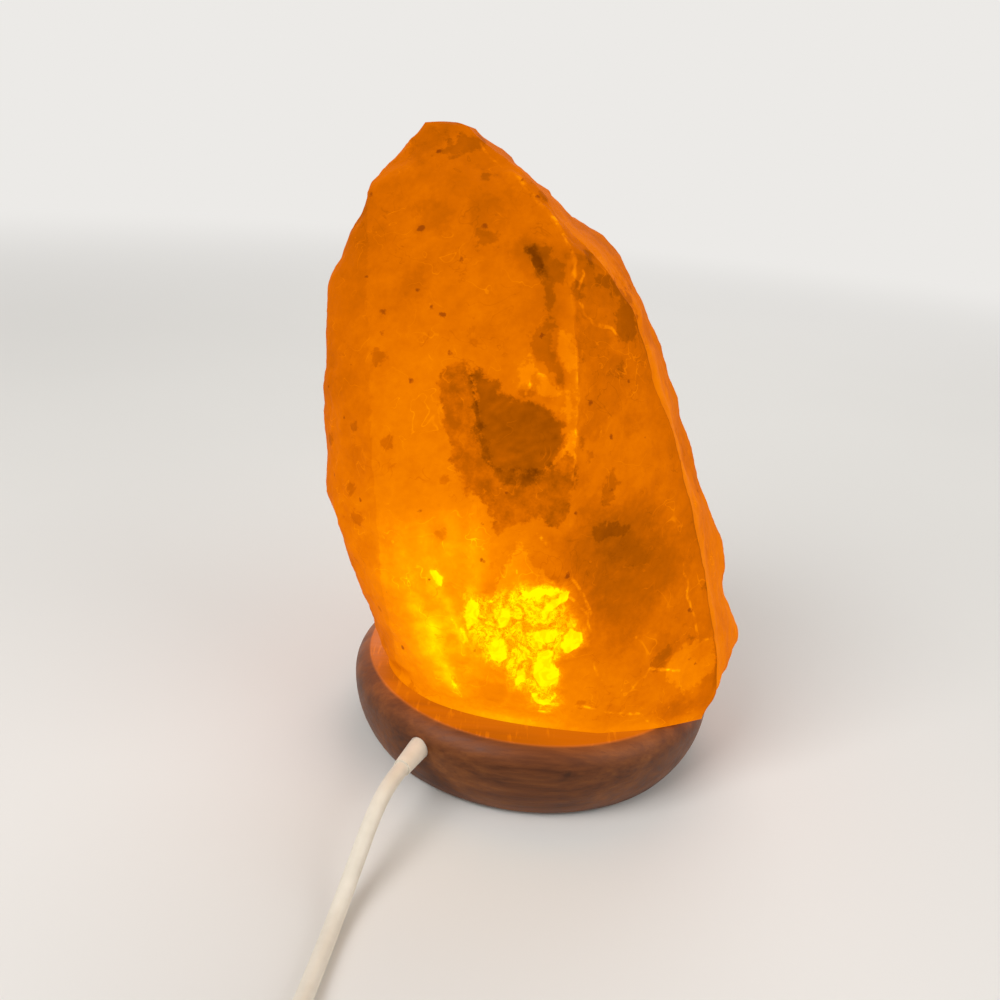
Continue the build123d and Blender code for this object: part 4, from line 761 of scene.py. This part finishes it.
def rock_salt():
    """Amber rock salt lit through: the bulb's light dims with distance, is held back by mud and stains, and
    breaks up in a bright crackle where the bulb is nearest."""
    f = Finish("rock_salt", Roughness=0.6, IOR=1.54, Specular_IOR_Level=0.006, Emission_Strength=1.0)
    f.shader.inputs["Specular Tint"].default_value = srgb(255, 120, 0)
    ragged = f.range(f.noise(3.6, 5, 0.68), 0.3, 0.7, -1.9, 1.9)
    patchy = f.range(f.noise(4.5, 4, 0.65), 0.38, 0.62, 0.4, 1.15)
    height = f.height()
    lit, mottle, grain = through_salt(f, f.mark("lit"))
    lit = crackle_over_bulb(f, lit, ragged)

    def inside_mark(name, wander, soft, most, share=1.0):
        """None outside a mark and the most deep inside it, with a ragged edge."""
        depth = f.sum("ADD", f.mark(name), f.sum("MULTIPLY", ragged, wander))
        return f.sum("MULTIPLY", f.range(depth, -soft, soft, 0.0, most, smooth=True), share)

    mud_fade = f.range(height, (base_top + 78) * MM, (base_top + 98) * MM, 0.45, 1.0)
    for mark in (
        # name, wander of its edge, softness, light held back, share
        ("mud", 1.0, 0.9, 0.21, mud_fade),
        ("crumbly", 1.0, 0.8, 0.19, patchy),
        ("stain", 1.0, 0.7, 0.11),
        ("faint", 1.2, 2.0, 0.055),
        ("shaded", 1.6, 6.0, 0.115),
        ("dark_core", 0.4, 0.8, 0.2),
        ("clear", 1.0, 0.7, -0.11),
    ):
        lit = f.sum("SUBTRACT", lit, inside_mark(*mark))
    pits = inside_mark("pits", 0.5, 0.45, 1.0)
    lit = f.sum("MULTIPLY_ADD", pits, -0.16, lit)
    broken = f.range(f.noise(3.0, 3, 0.6), 0.42, 0.58, 0.15, 1.2)
    for name, reach, most in (("ridge", 1.1, 0.17), ("flake_line", 0.8, 0.19)):
        line = f.range(f.mark(name), 0.1, reach, most, 0.0, smooth=True)
        lit = f.sum("MULTIPLY_ADD", line, broken, lit)
    past = f.mark("past_bevel")
    near_edge = f.sum("ABSOLUTE", f.sum("ADD", past, 0.5))
    lit = f.total(
        lit,
        f.range(past, -9.0, -0.6, 0.0, -0.05),
        f.range(near_edge, 0.1, 0.9, -0.07, 0.0, smooth=True),
        f.range(past, -0.4, 0.4, 0.0, 0.15),
        f.range(past, 6.0, 22.0, 0.0, -0.10),
        f.range(f.sum("ADD", f.mark("left_band"), ragged), -1.0, 1.5, 0.0, -0.05),
        f.range(height, base_top * MM, (base_top + 6) * MM, 0.07, 0.0),
    )
    glow = f.ramp(
        lit,
        (0.0, (80, 32, 0)),
        (0.2, (140, 66, 0)),
        (0.34, (170, 82, 0)),
        (0.44, (195, 94, 0)),
        (0.5, (210, 102, 0)),
        (0.56, (224, 112, 0)),
        (0.7, (248, 134, 0)),
        (0.8, (253, 160, 0)),
        (0.9, (252, 205, 0)),
        (1.0, (255, 250, 0)),
    )
    glow = f.blend(f.sum("MULTIPLY", pits, 0.6), glow, srgb(150, 62, 8))
    f.feed(f.shader.inputs["Emission Color"], glow)
    # The base colour follows the light that comes through: darker under mud and stains, and also darker where
    # the bulb's light is weaker, which is painted shade.
    f.colour(f.ramp(lit, (0.2, (40, 14, 0)), (0.6, (62, 24, 0)), (1.0, (70, 34, 0))))
    f.bump(f.sum("ADD", f.sum("MULTIPLY", mottle, 0.8), f.sum("MULTIPLY", grain, 0.35)), 0.8, 0.7)
    return f.material


def turned_wood():
    """Softwood, sawn across the top and turned at the side, under thin lacquer, with the grain along X.
    A painted glow stands for the salt's light: the top is painted lit, and the first millimetres under the
    rim are painted brighter."""
    f = Finish("turned_wood", Specular_IOR_Level=0.22, Emission_Strength=1.0)
    fibres = f.noise(1.6, 4, 0.6, stretch=(16, 1, 1))
    rings = f.noise(9, 3, 0.5, stretch=(10, 1, 1), distortion=0.5)
    pores = f.range(f.noise(0.7, 2, 0.5, stretch=(9, 1, 1)), 0.62, 0.72)
    both = f.sum("ADD", f.sum("MULTIPLY", rings, 0.6), f.sum("MULTIPLY", fibres, 0.4))
    tone = f.ramp(
        both, (0.34, (66, 33, 13)), (0.48, (98, 53, 22)), (0.58, (116, 66, 29)), (0.7, (136, 82, 40))
    )
    tone = f.blend(f.sum("MULTIPLY", pores, 0.5), tone, srgb(72, 38, 17))
    height = f.height()
    up = f.range(height, (base_top - 0.5) * MM, (base_top - 0.1) * MM)
    # Painted light: a glow for the salt's light, strongest on the top face and fading over 11 mm down the
    # side under the rim.
    painted_rim_glow = f.range(height, (base_top - 11) * MM, base_top * MM, 0.0, 1.0)
    painted_rim_glow = f.sum("POWER", painted_rim_glow, 2.2)
    cuts = f.noise(1.3, 2, 0.5, stretch=(1, 9, 1), turn=(0, 0, -15))
    saw_lines = f.sum("MULTIPLY", f.range(cuts, 0.56, 0.66), f.range(f.noise(14, 2), 0.46, 0.56))
    saw_lines = f.sum("MULTIPLY", saw_lines, up)
    # Painted light: the saw lines on the top are real marks, and the painted glow is brighter along them.
    painted_top_glow = f.sum("MULTIPLY", up, f.sum("MULTIPLY_ADD", saw_lines, 0.2, 0.37))
    light = f.sum("ADD", f.sum("MULTIPLY", painted_rim_glow, 0.24), painted_top_glow)
    light = f.sum("MULTIPLY", light, f.range(rings, 0.35, 0.65, 0.86, 1.12))
    glow = f.ramp(light, (0.0, (0, 0, 0)), (0.25, (104, 46, 0)), (0.6, (204, 98, 0)), (1.0, (240, 124, 0)))
    f.feed(f.shader.inputs["Emission Color"], glow)
    # Painted light: the top's base colour is a dark amber, so that its painted glow shows as wood lit by the
    # salt.
    tone_with_painted_top = f.blend(f.sum("MULTIPLY", up, 0.9), f.blend(side_mark(f), tone, srgb(50, 28, 14)), srgb(46, 17, 0))
    f.colour(tone_with_painted_top)
    f.rough(f.range(fibres, 0.3, 0.7, 0.38, 0.55))
    f.bump(f.sum("MULTIPLY_ADD", saw_lines, 0.4, fibres), 0.2, 0.5)
    return f.material


def side_mark(f):
    """A small dark mark on the front of the base's side."""
    away = f.add("ShaderNodeVectorMath", operation="DISTANCE")
    f.feed(away.inputs[0], f.place)
    away.inputs[1].default_value = [c * MM for c in base_mark_place]
    wander = f.range(f.noise(1.2, 3), 0.3, 0.7, -0.0006, 0.0006)
    return f.range(f.sum("ADD", away.outputs["Value"], wander), 0.0006, 0.0016, 0.75, 0.0)


def moulded(name, colour, dark, roughness=0.45, texture=0.05):
    """Moulded plastic with a fine grain."""
    f = Finish(name)
    cloud = f.noise(9, 3)
    fine = f.noise(0.5, 2)
    f.colour(f.ramp(cloud, (0.3, dark), (0.7, colour)))
    f.rough(f.range(fine, 0.3, 0.7, roughness - 0.06, roughness + 0.08))
    f.bump(fine, texture, 0.5)
    return f.material


def metal(name, colour, dark, roughness=0.3, stretch=(1, 1, 12)):
    """Bare metal with fine drawn lines and slight tarnish."""
    f = Finish(name, Metallic=1.0)
    lines = f.noise(0.4, 2, stretch=stretch)
    tarnish = f.noise(5, 4)
    f.colour(f.ramp(tarnish, (0.3, dark), (0.7, colour)))
    f.rough(f.range(lines, 0.3, 0.7, roughness - 0.08, roughness + 0.12))
    f.bump(lines, 0.03, 0.4)
    return f.material


def blown_glass(name, tint, roughness):
    """Thin clear glass with faint waves."""
    f = Finish(name, Transmission_Weight=1.0, IOR=1.45, Roughness=roughness)
    waves = f.noise(7, 2)
    f.colour(f.ramp(waves, (0.3, tint), (0.7, (255, 255, 255))))
    f.bump(waves, 0.05, 0.3)
    return f.material


def glowing_wire():
    """Tungsten at yellow heat, a little uneven along its length."""
    f = Finish("glowing_wire", Emission_Strength=6.0, Roughness=0.5)
    heat = f.noise(1.0, 2)
    f.feed(f.shader.inputs["Emission Color"], f.ramp(heat, (0.3, (255, 170, 70)), (0.7, (255, 215, 140))))
    f.colour(f.ramp(heat, (0.3, (90, 80, 70)), (0.7, (130, 120, 110))))
    return f.material


finishes = {
    "rock_salt": rock_salt(),
    "pale_wood": turned_wood(),
    "pad_rubber": moulded("pad_rubber", (48, 47, 45), (34, 33, 32), 0.75, 0.12),
    "zinc_steel": metal("zinc_steel", (196, 196, 190), (160, 160, 156), 0.34),
    "spring_steel": metal("spring_steel", (176, 178, 182), (140, 142, 146), 0.25),
    "brass": metal("brass", (218, 182, 104), (186, 146, 76), 0.28),
    "holder_plastic": moulded("holder_plastic", (44, 43, 42), (30, 29, 29), 0.42, 0.06),
    "insulator_glass": moulded("insulator_glass", (30, 26, 40), (16, 14, 24), 0.12, 0.02),
    "bulb_cap_metal": metal("bulb_cap_metal", (214, 212, 204), (178, 176, 168), 0.3),
    "bulb_glass": blown_glass("bulb_glass", (250, 248, 240), 0.02),
    "stem_glass": blown_glass("stem_glass", (236, 244, 244), 0.05),
    "filament_glow": glowing_wire(),
    "cord_pvc": moulded("cord_pvc", (236, 228, 212), (222, 213, 196), 0.4, 0.04),
    "core_brown": moulded("core_brown", (112, 66, 36), (88, 50, 28), 0.45, 0.04),
    "switch_plastic": moulded("switch_plastic", (236, 233, 224), (224, 221, 211), 0.3, 0.03),
    "tie_plastic": moulded("tie_plastic", (222, 222, 218), (204, 204, 200), 0.5, 0.05),
    "pin_nickel": metal("pin_nickel", (214, 212, 206), (188, 186, 180), 0.18, (1, 12, 1)),
    "sleeve_plastic": moulded("sleeve_plastic", (46, 46, 46), (34, 34, 34), 0.35, 0.03),
}


# ---- cords ---------------------------------------------------------------------------------------
cord_radius = 2.5
cord_lead_route = (
    (-40.84, -65.51, 19.5),
    (-43.93, -73.95, 19.5),
    (-46.9, -84.8, 16.0),
    (-49.3, -95.4, 10.3),
    (-51.5, -106.2, 5.2),
    (-53.1, -117.4, 2.7),
    (-54.6, -130.2, 2.5),
    (-56.0, -142.6, 2.6),
    (-56.8, -152.4, 5.4),
    (-57.0, -161.5, 8.2),
    (-57.0, -170.0, 8.2),
)
cord_link_route = (
    (-57.0, -230.0, 8.2),
    (-57.0, -238.8, 8.2),
    (-54.3, -247.2, 7.8),
    (-49.1, -254.4, 7.0),
    (-42.0, -259.6, 6.0),
    (-33.6, -262.4, 4.9),
    (-24.0, -262.9, 4.0),
    (-13.5, -262.3, 3.4),
    (-3.5, -262.3, 3.4),
)
cord_tail_route = (
    (6.5, -262.3, 8.9),
    (13.5, -262.3, 8.9),
    (22.0, -263.9, 8.1),
    (30.5, -265.0, 7.0),
    (38.0, -265.0, 7.0),
)
coil_centre = (1.5, -222.0)
coil_inner_radius = 18.3
coil_pitch = 5.5
coil_turns = 8
coil_low, coil_rise = 3.4, 5.5
coil_climb_turns = 0.5
points_per_turn = 24


def coil_route():
    """The coil's turns: the radius shrinks steadily to the middle turn and grows again, and the cord
    climbs to the upper layer in the innermost half turn."""
    turn = np.arange(coil_turns * points_per_turn + 1) / points_per_turn
    radius = coil_inner_radius + coil_pitch * np.abs(turn - coil_turns / 2)
    climb = np.clip((turn - coil_turns / 2) / coil_climb_turns + 0.5, 0, 1)
    height = coil_low + coil_rise * (0.5 - 0.5 * np.cos(math.pi * climb))
    angle = 2 * math.pi * turn - math.pi / 2
    x, y = coil_centre[0] + radius * np.cos(angle), coil_centre[1] + radius * np.sin(angle)
    return np.stack([x, y, height], axis=-1)


def cord_piece(name, route, stands_for):
    """A round cord on one smooth spline, with the route's points as its control points."""
    curve = bpy.data.curves.new(name, "CURVE")
    curve.dimensions = "3D"
    spline = curve.splines.new("NURBS")
    spline.points.add(len(route) - 1)
    spline.points.foreach_set("co", np.hstack([np.asarray(route) * MM, np.ones((len(route), 1))]).ravel())
    spline.order_u = 3
    spline.use_endpoint_u = True
    spline.resolution_u = 6
    curve.bevel_depth = cord_radius * MM
    curve.bevel_resolution = 5
    curve.use_fill_caps = True
    piece = bpy.data.objects.new(name, curve)
    bpy.context.scene.collection.objects.link(piece)
    piece.data.materials.append(finishes["cord_pvc"])
    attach(piece, "root")
    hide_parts(*stands_for)
    return piece


def build_cords():
    """The lead to the switch, and the stored rest: link, coil and tail on one spline."""
    lead = cord_piece("lead_flex", cord_lead_route, ["cord_lead"])
    route = [*cord_link_route, *coil_route(), *cord_tail_route]
    stored = cord_piece("stored_flex", route, ["cord_link", "cord_coil", "cord_tail"])


# ---- cores of the cord, inside the base ----------------------------------------------------------
cord_exit_radius, cord_exit_height, cord_exit_angle = 65.5, 19.5, -124.1
cord_bore_skew = 14.0  # the cord runs in this far off the radius
core_drop_radius = 21.5  # the cores turn down this far from the lamp's axis
core_bare_run = 5.0
core_radius, core_spacing = 0.95, 2.9
core_end_spacing, core_end_radius, core_end_height = 6.0, 4.0, 8.8
core_bends = (3.0, 3.6)
core_sides, core_step = 20, 0.5


def rounded_path(corners, bends, steps=9):
    """A path of straight runs whose inner corners are rounded: each by a curve that starts and ends one
    bend away from the corner and leans on it, in equal steps."""
    t = np.linspace(0, 1, steps)[:, None]
    path = [corners[:1]]
    for before, corner, after, bend in zip(corners, corners[1:], corners[2:], bends):
        start = corner + (before - corner) / np.linalg.norm(before - corner) * bend
        end = corner + (after - corner) / np.linalg.norm(after - corner) * bend
        path.append(start * (1 - t) ** 2 + corner * 2 * t * (1 - t) + end * t**2)
    return np.vstack([*path, corners[-1:]])


def resampled(path, step):
    """The same path with points about one step apart, by its length along."""
    along = np.append(0, np.cumsum(np.linalg.norm(np.diff(path, axis=0), axis=1)))
    stops = np.linspace(0, along[-1], int(along[-1] / step) + 1)
    return np.stack([np.interp(stops, along, path[:, k]) for k in range(3)], axis=-1)


def tube_rings(path, radius, sides):
    """Circles square to a path: each point plus the radius times a turning pair of directions, the
    first kept as level as it can be."""
    along = np.gradient(path, axis=0)
    along /= np.linalg.norm(along, axis=1)[:, None]
    level = np.cross(path[-1] - path[0], [0.0, 0.0, 1.0])
    level = level - (along @ level)[:, None] * along
    level /= np.linalg.norm(level, axis=1)[:, None]
    over = np.cross(along, level)
    turn = np.linspace(0, 2 * math.pi, sides, endpoint=False)[None, :, None]
    return path[:, None] + radius * (np.cos(turn) * level[:, None] + np.sin(turn) * over[:, None])


def build_cores():
    """The two insulated cores: straight on from the cord's sheath, down the bore's wall, in to the holder's
    terminals."""
    angle, heading = math.radians(cord_exit_angle), math.radians(cord_exit_angle + cord_bore_skew)
    out = np.array([math.cos(heading), math.sin(heading), 0.0])
    beside = np.array([-math.sin(heading), math.cos(heading), 0.0])
    side = np.array([math.cos(angle), math.sin(angle), 0.0]) * cord_exit_radius
    middle = side @ out
    drop = middle - math.sqrt(core_drop_radius**2 - (side @ side - middle**2))
    turn_down = side - out * drop + np.array([0.0, 0.0, cord_exit_height])
    start = turn_down + out * core_bare_run
    inward = -turn_down * [1, 1, 0] / np.linalg.norm(turn_down[:2])
    across = np.array([-inward[1], inward[0], 0.0])
    low = turn_down * [1, 1, 0] + [0, 0, core_end_height]
    end = np.array([0, 0, core_end_height]) - inward * core_end_radius
    for name, turn in (("core_left", -1), ("core_right", 1)):
        near, far = beside * (-turn * core_spacing / 2), across * (turn * core_end_spacing / 2)
        corners = np.array([start + near, turn_down + near, low + near, end + far])
        path = resampled(rounded_path(corners, core_bends), core_step)
        piece = closed_skin(name, tube_rings(path, core_radius, core_sides), path[0], path[-1])
        piece.data.materials.append(finishes["core_brown"])
        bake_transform(piece)
        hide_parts("core_wires")


# ---- floor, light and camera ---------------------------------------------------------------------
backdrop_colour = (236, 234, 231)
world_light = 0.43
floor_size = 40.0
fade_start, fade_end = 0.35, 1.6  # metres from the lamp's axis
light_target = (0.0, 0.0, 0.09)  # metres, the middle of the crystal


def seen_by_eye(f):
    """1 for rays from the camera, from glossy surfaces or through glass, and 0 for those that light
    things."""
    rays = f.add("ShaderNodeLightPath")
    either = f.sum("MAXIMUM", rays.outputs["Is Camera Ray"], rays.outputs["Is Glossy Ray"])
    return f.sum("MAXIMUM", either, rays.outputs["Is Transmission Ray"])


def build_floor():
    """A plain pale floor that fades into the backdrop's colour far away."""
    bpy.ops.mesh.primitive_plane_add(size=floor_size)
    floor = bpy.context.object
    floor.name = "floor"
    f = Finish("plain_floor", Roughness=0.75, Specular_IOR_Level=0.2)
    f.colour(f.ramp(f.noise(400, 2), (0.3, (228, 226, 222)), (0.7, (231, 229, 225))))
    away = f.add("ShaderNodeVectorMath", operation="LENGTH")
    f.feed(away.inputs[0], f.place)
    far = f.range(away.outputs["Value"], fade_start, fade_end, smooth=True)
    share = f.sum("MULTIPLY", far, seen_by_eye(f))
    backdrop = f.add("ShaderNodeEmission")
    backdrop.inputs["Color"].default_value = srgb(*backdrop_colour)
    both = f.add("ShaderNodeMixShader")
    f.feed(both.inputs[0], share)
    f.feed(both.inputs[1], f.shader.outputs[0])
    f.feed(both.inputs[2], backdrop.outputs[0])
    f.feed(f.tree.nodes["Material Output"].inputs["Surface"], both.outputs[0])
    floor.data.materials.append(f.material)


def build_world():
    """Plain pale surroundings: full strength to the eye, and less as light."""
    world = bpy.data.worlds.new("backdrop")
    bpy.context.scene.world = world
    world.use_nodes = True
    tree = world.node_tree
    background = tree.nodes["Background"]
    background.inputs["Color"].default_value = srgb(*backdrop_colour)
    rays = tree.nodes.new("ShaderNodeLightPath")
    eye = rays.outputs["Is Camera Ray"]
    for name in ("Is Glossy Ray", "Is Transmission Ray"):
        either = tree.nodes.new("ShaderNodeMath")
        either.operation = "MAXIMUM"
        tree.links.new(eye, either.inputs[0])
        tree.links.new(rays.outputs[name], either.inputs[1])
        eye = either.outputs[0]
    strength = tree.nodes.new("ShaderNodeMapRange")
    strength.inputs["To Min"].default_value = world_light
    tree.links.new(eye, strength.inputs["Value"])
    tree.links.new(strength.outputs[0], background.inputs["Strength"])


def area_light(name, place, size, power):
    """A soft square lamp at a place in metres, aimed at the middle of the crystal."""
    light = bpy.data.lights.new(name, "AREA")
    light.size = size
    light.energy = power
    lamp = bpy.data.objects.new(name, light)
    bpy.context.scene.collection.objects.link(lamp)
    target = np.array(light_target)
    aim(lamp, np.array(place), target - np.array(place), np.array([0.0, 0.0, 1.0]), 0.0)


def aim(thing, place, forward, up, roll):
    """Put a lamp or camera at a place, looking forward, and turn it about its own line of sight by roll."""
    forward = forward / np.linalg.norm(forward)
    right = np.cross(forward, up)
    right /= np.linalg.norm(right)
    over = np.cross(right, forward)
    turned_right = math.cos(roll) * right + math.sin(roll) * over
    turned_over = -math.sin(roll) * right + math.cos(roll) * over
    rows = np.stack([turned_right, turned_over, -forward, place], axis=-1)
    thing.matrix_world = Matrix([*rows.tolist(), [0, 0, 0, 1]])


camera_place = (-17.34, -330.0, 216.32)
camera_pitch, camera_roll = 21.29, 5.06
focal_pixels, picture_width = 1003.0, 1000.0


def build_camera():
    """The camera, as fitted to the base's rim in the photo."""
    data = bpy.data.cameras.new("camera")
    data.sensor_width = 36.0
    data.lens = focal_pixels / picture_width * data.sensor_width
    data.clip_start = 0.01
    camera = bpy.data.objects.new("camera", data)
    bpy.context.scene.collection.objects.link(camera)
    pitch = math.radians(camera_pitch)
    forward = np.array([0.0, math.cos(pitch), -math.sin(pitch)])
    aim(camera, np.array(camera_place) * MM, forward, np.array([0.0, 0.0, 1.0]), math.radians(camera_roll))
    bpy.context.scene.camera = camera


build_camera()
build_cords()
build_floor()
build_world()
area_light("key", (-0.7, -0.7, 0.9), 0.7, 10.0)
area_light("fill", (0.9, -0.5, 0.6), 0.9, 4.5)
area_light("back", (0.2, 0.9, 0.9), 0.8, 4.5)

build_crystal()
build_cores()

slot_of = {row["node"]: row["material_slot"] for row in frame["record"]["subparts"]}
for name, thing in nodes.items():
    thing.data.materials.clear()
    thing.data.materials.append(finishes[slot_of[name]])

bpy.context.scene.view_settings.view_transform = "Standard"
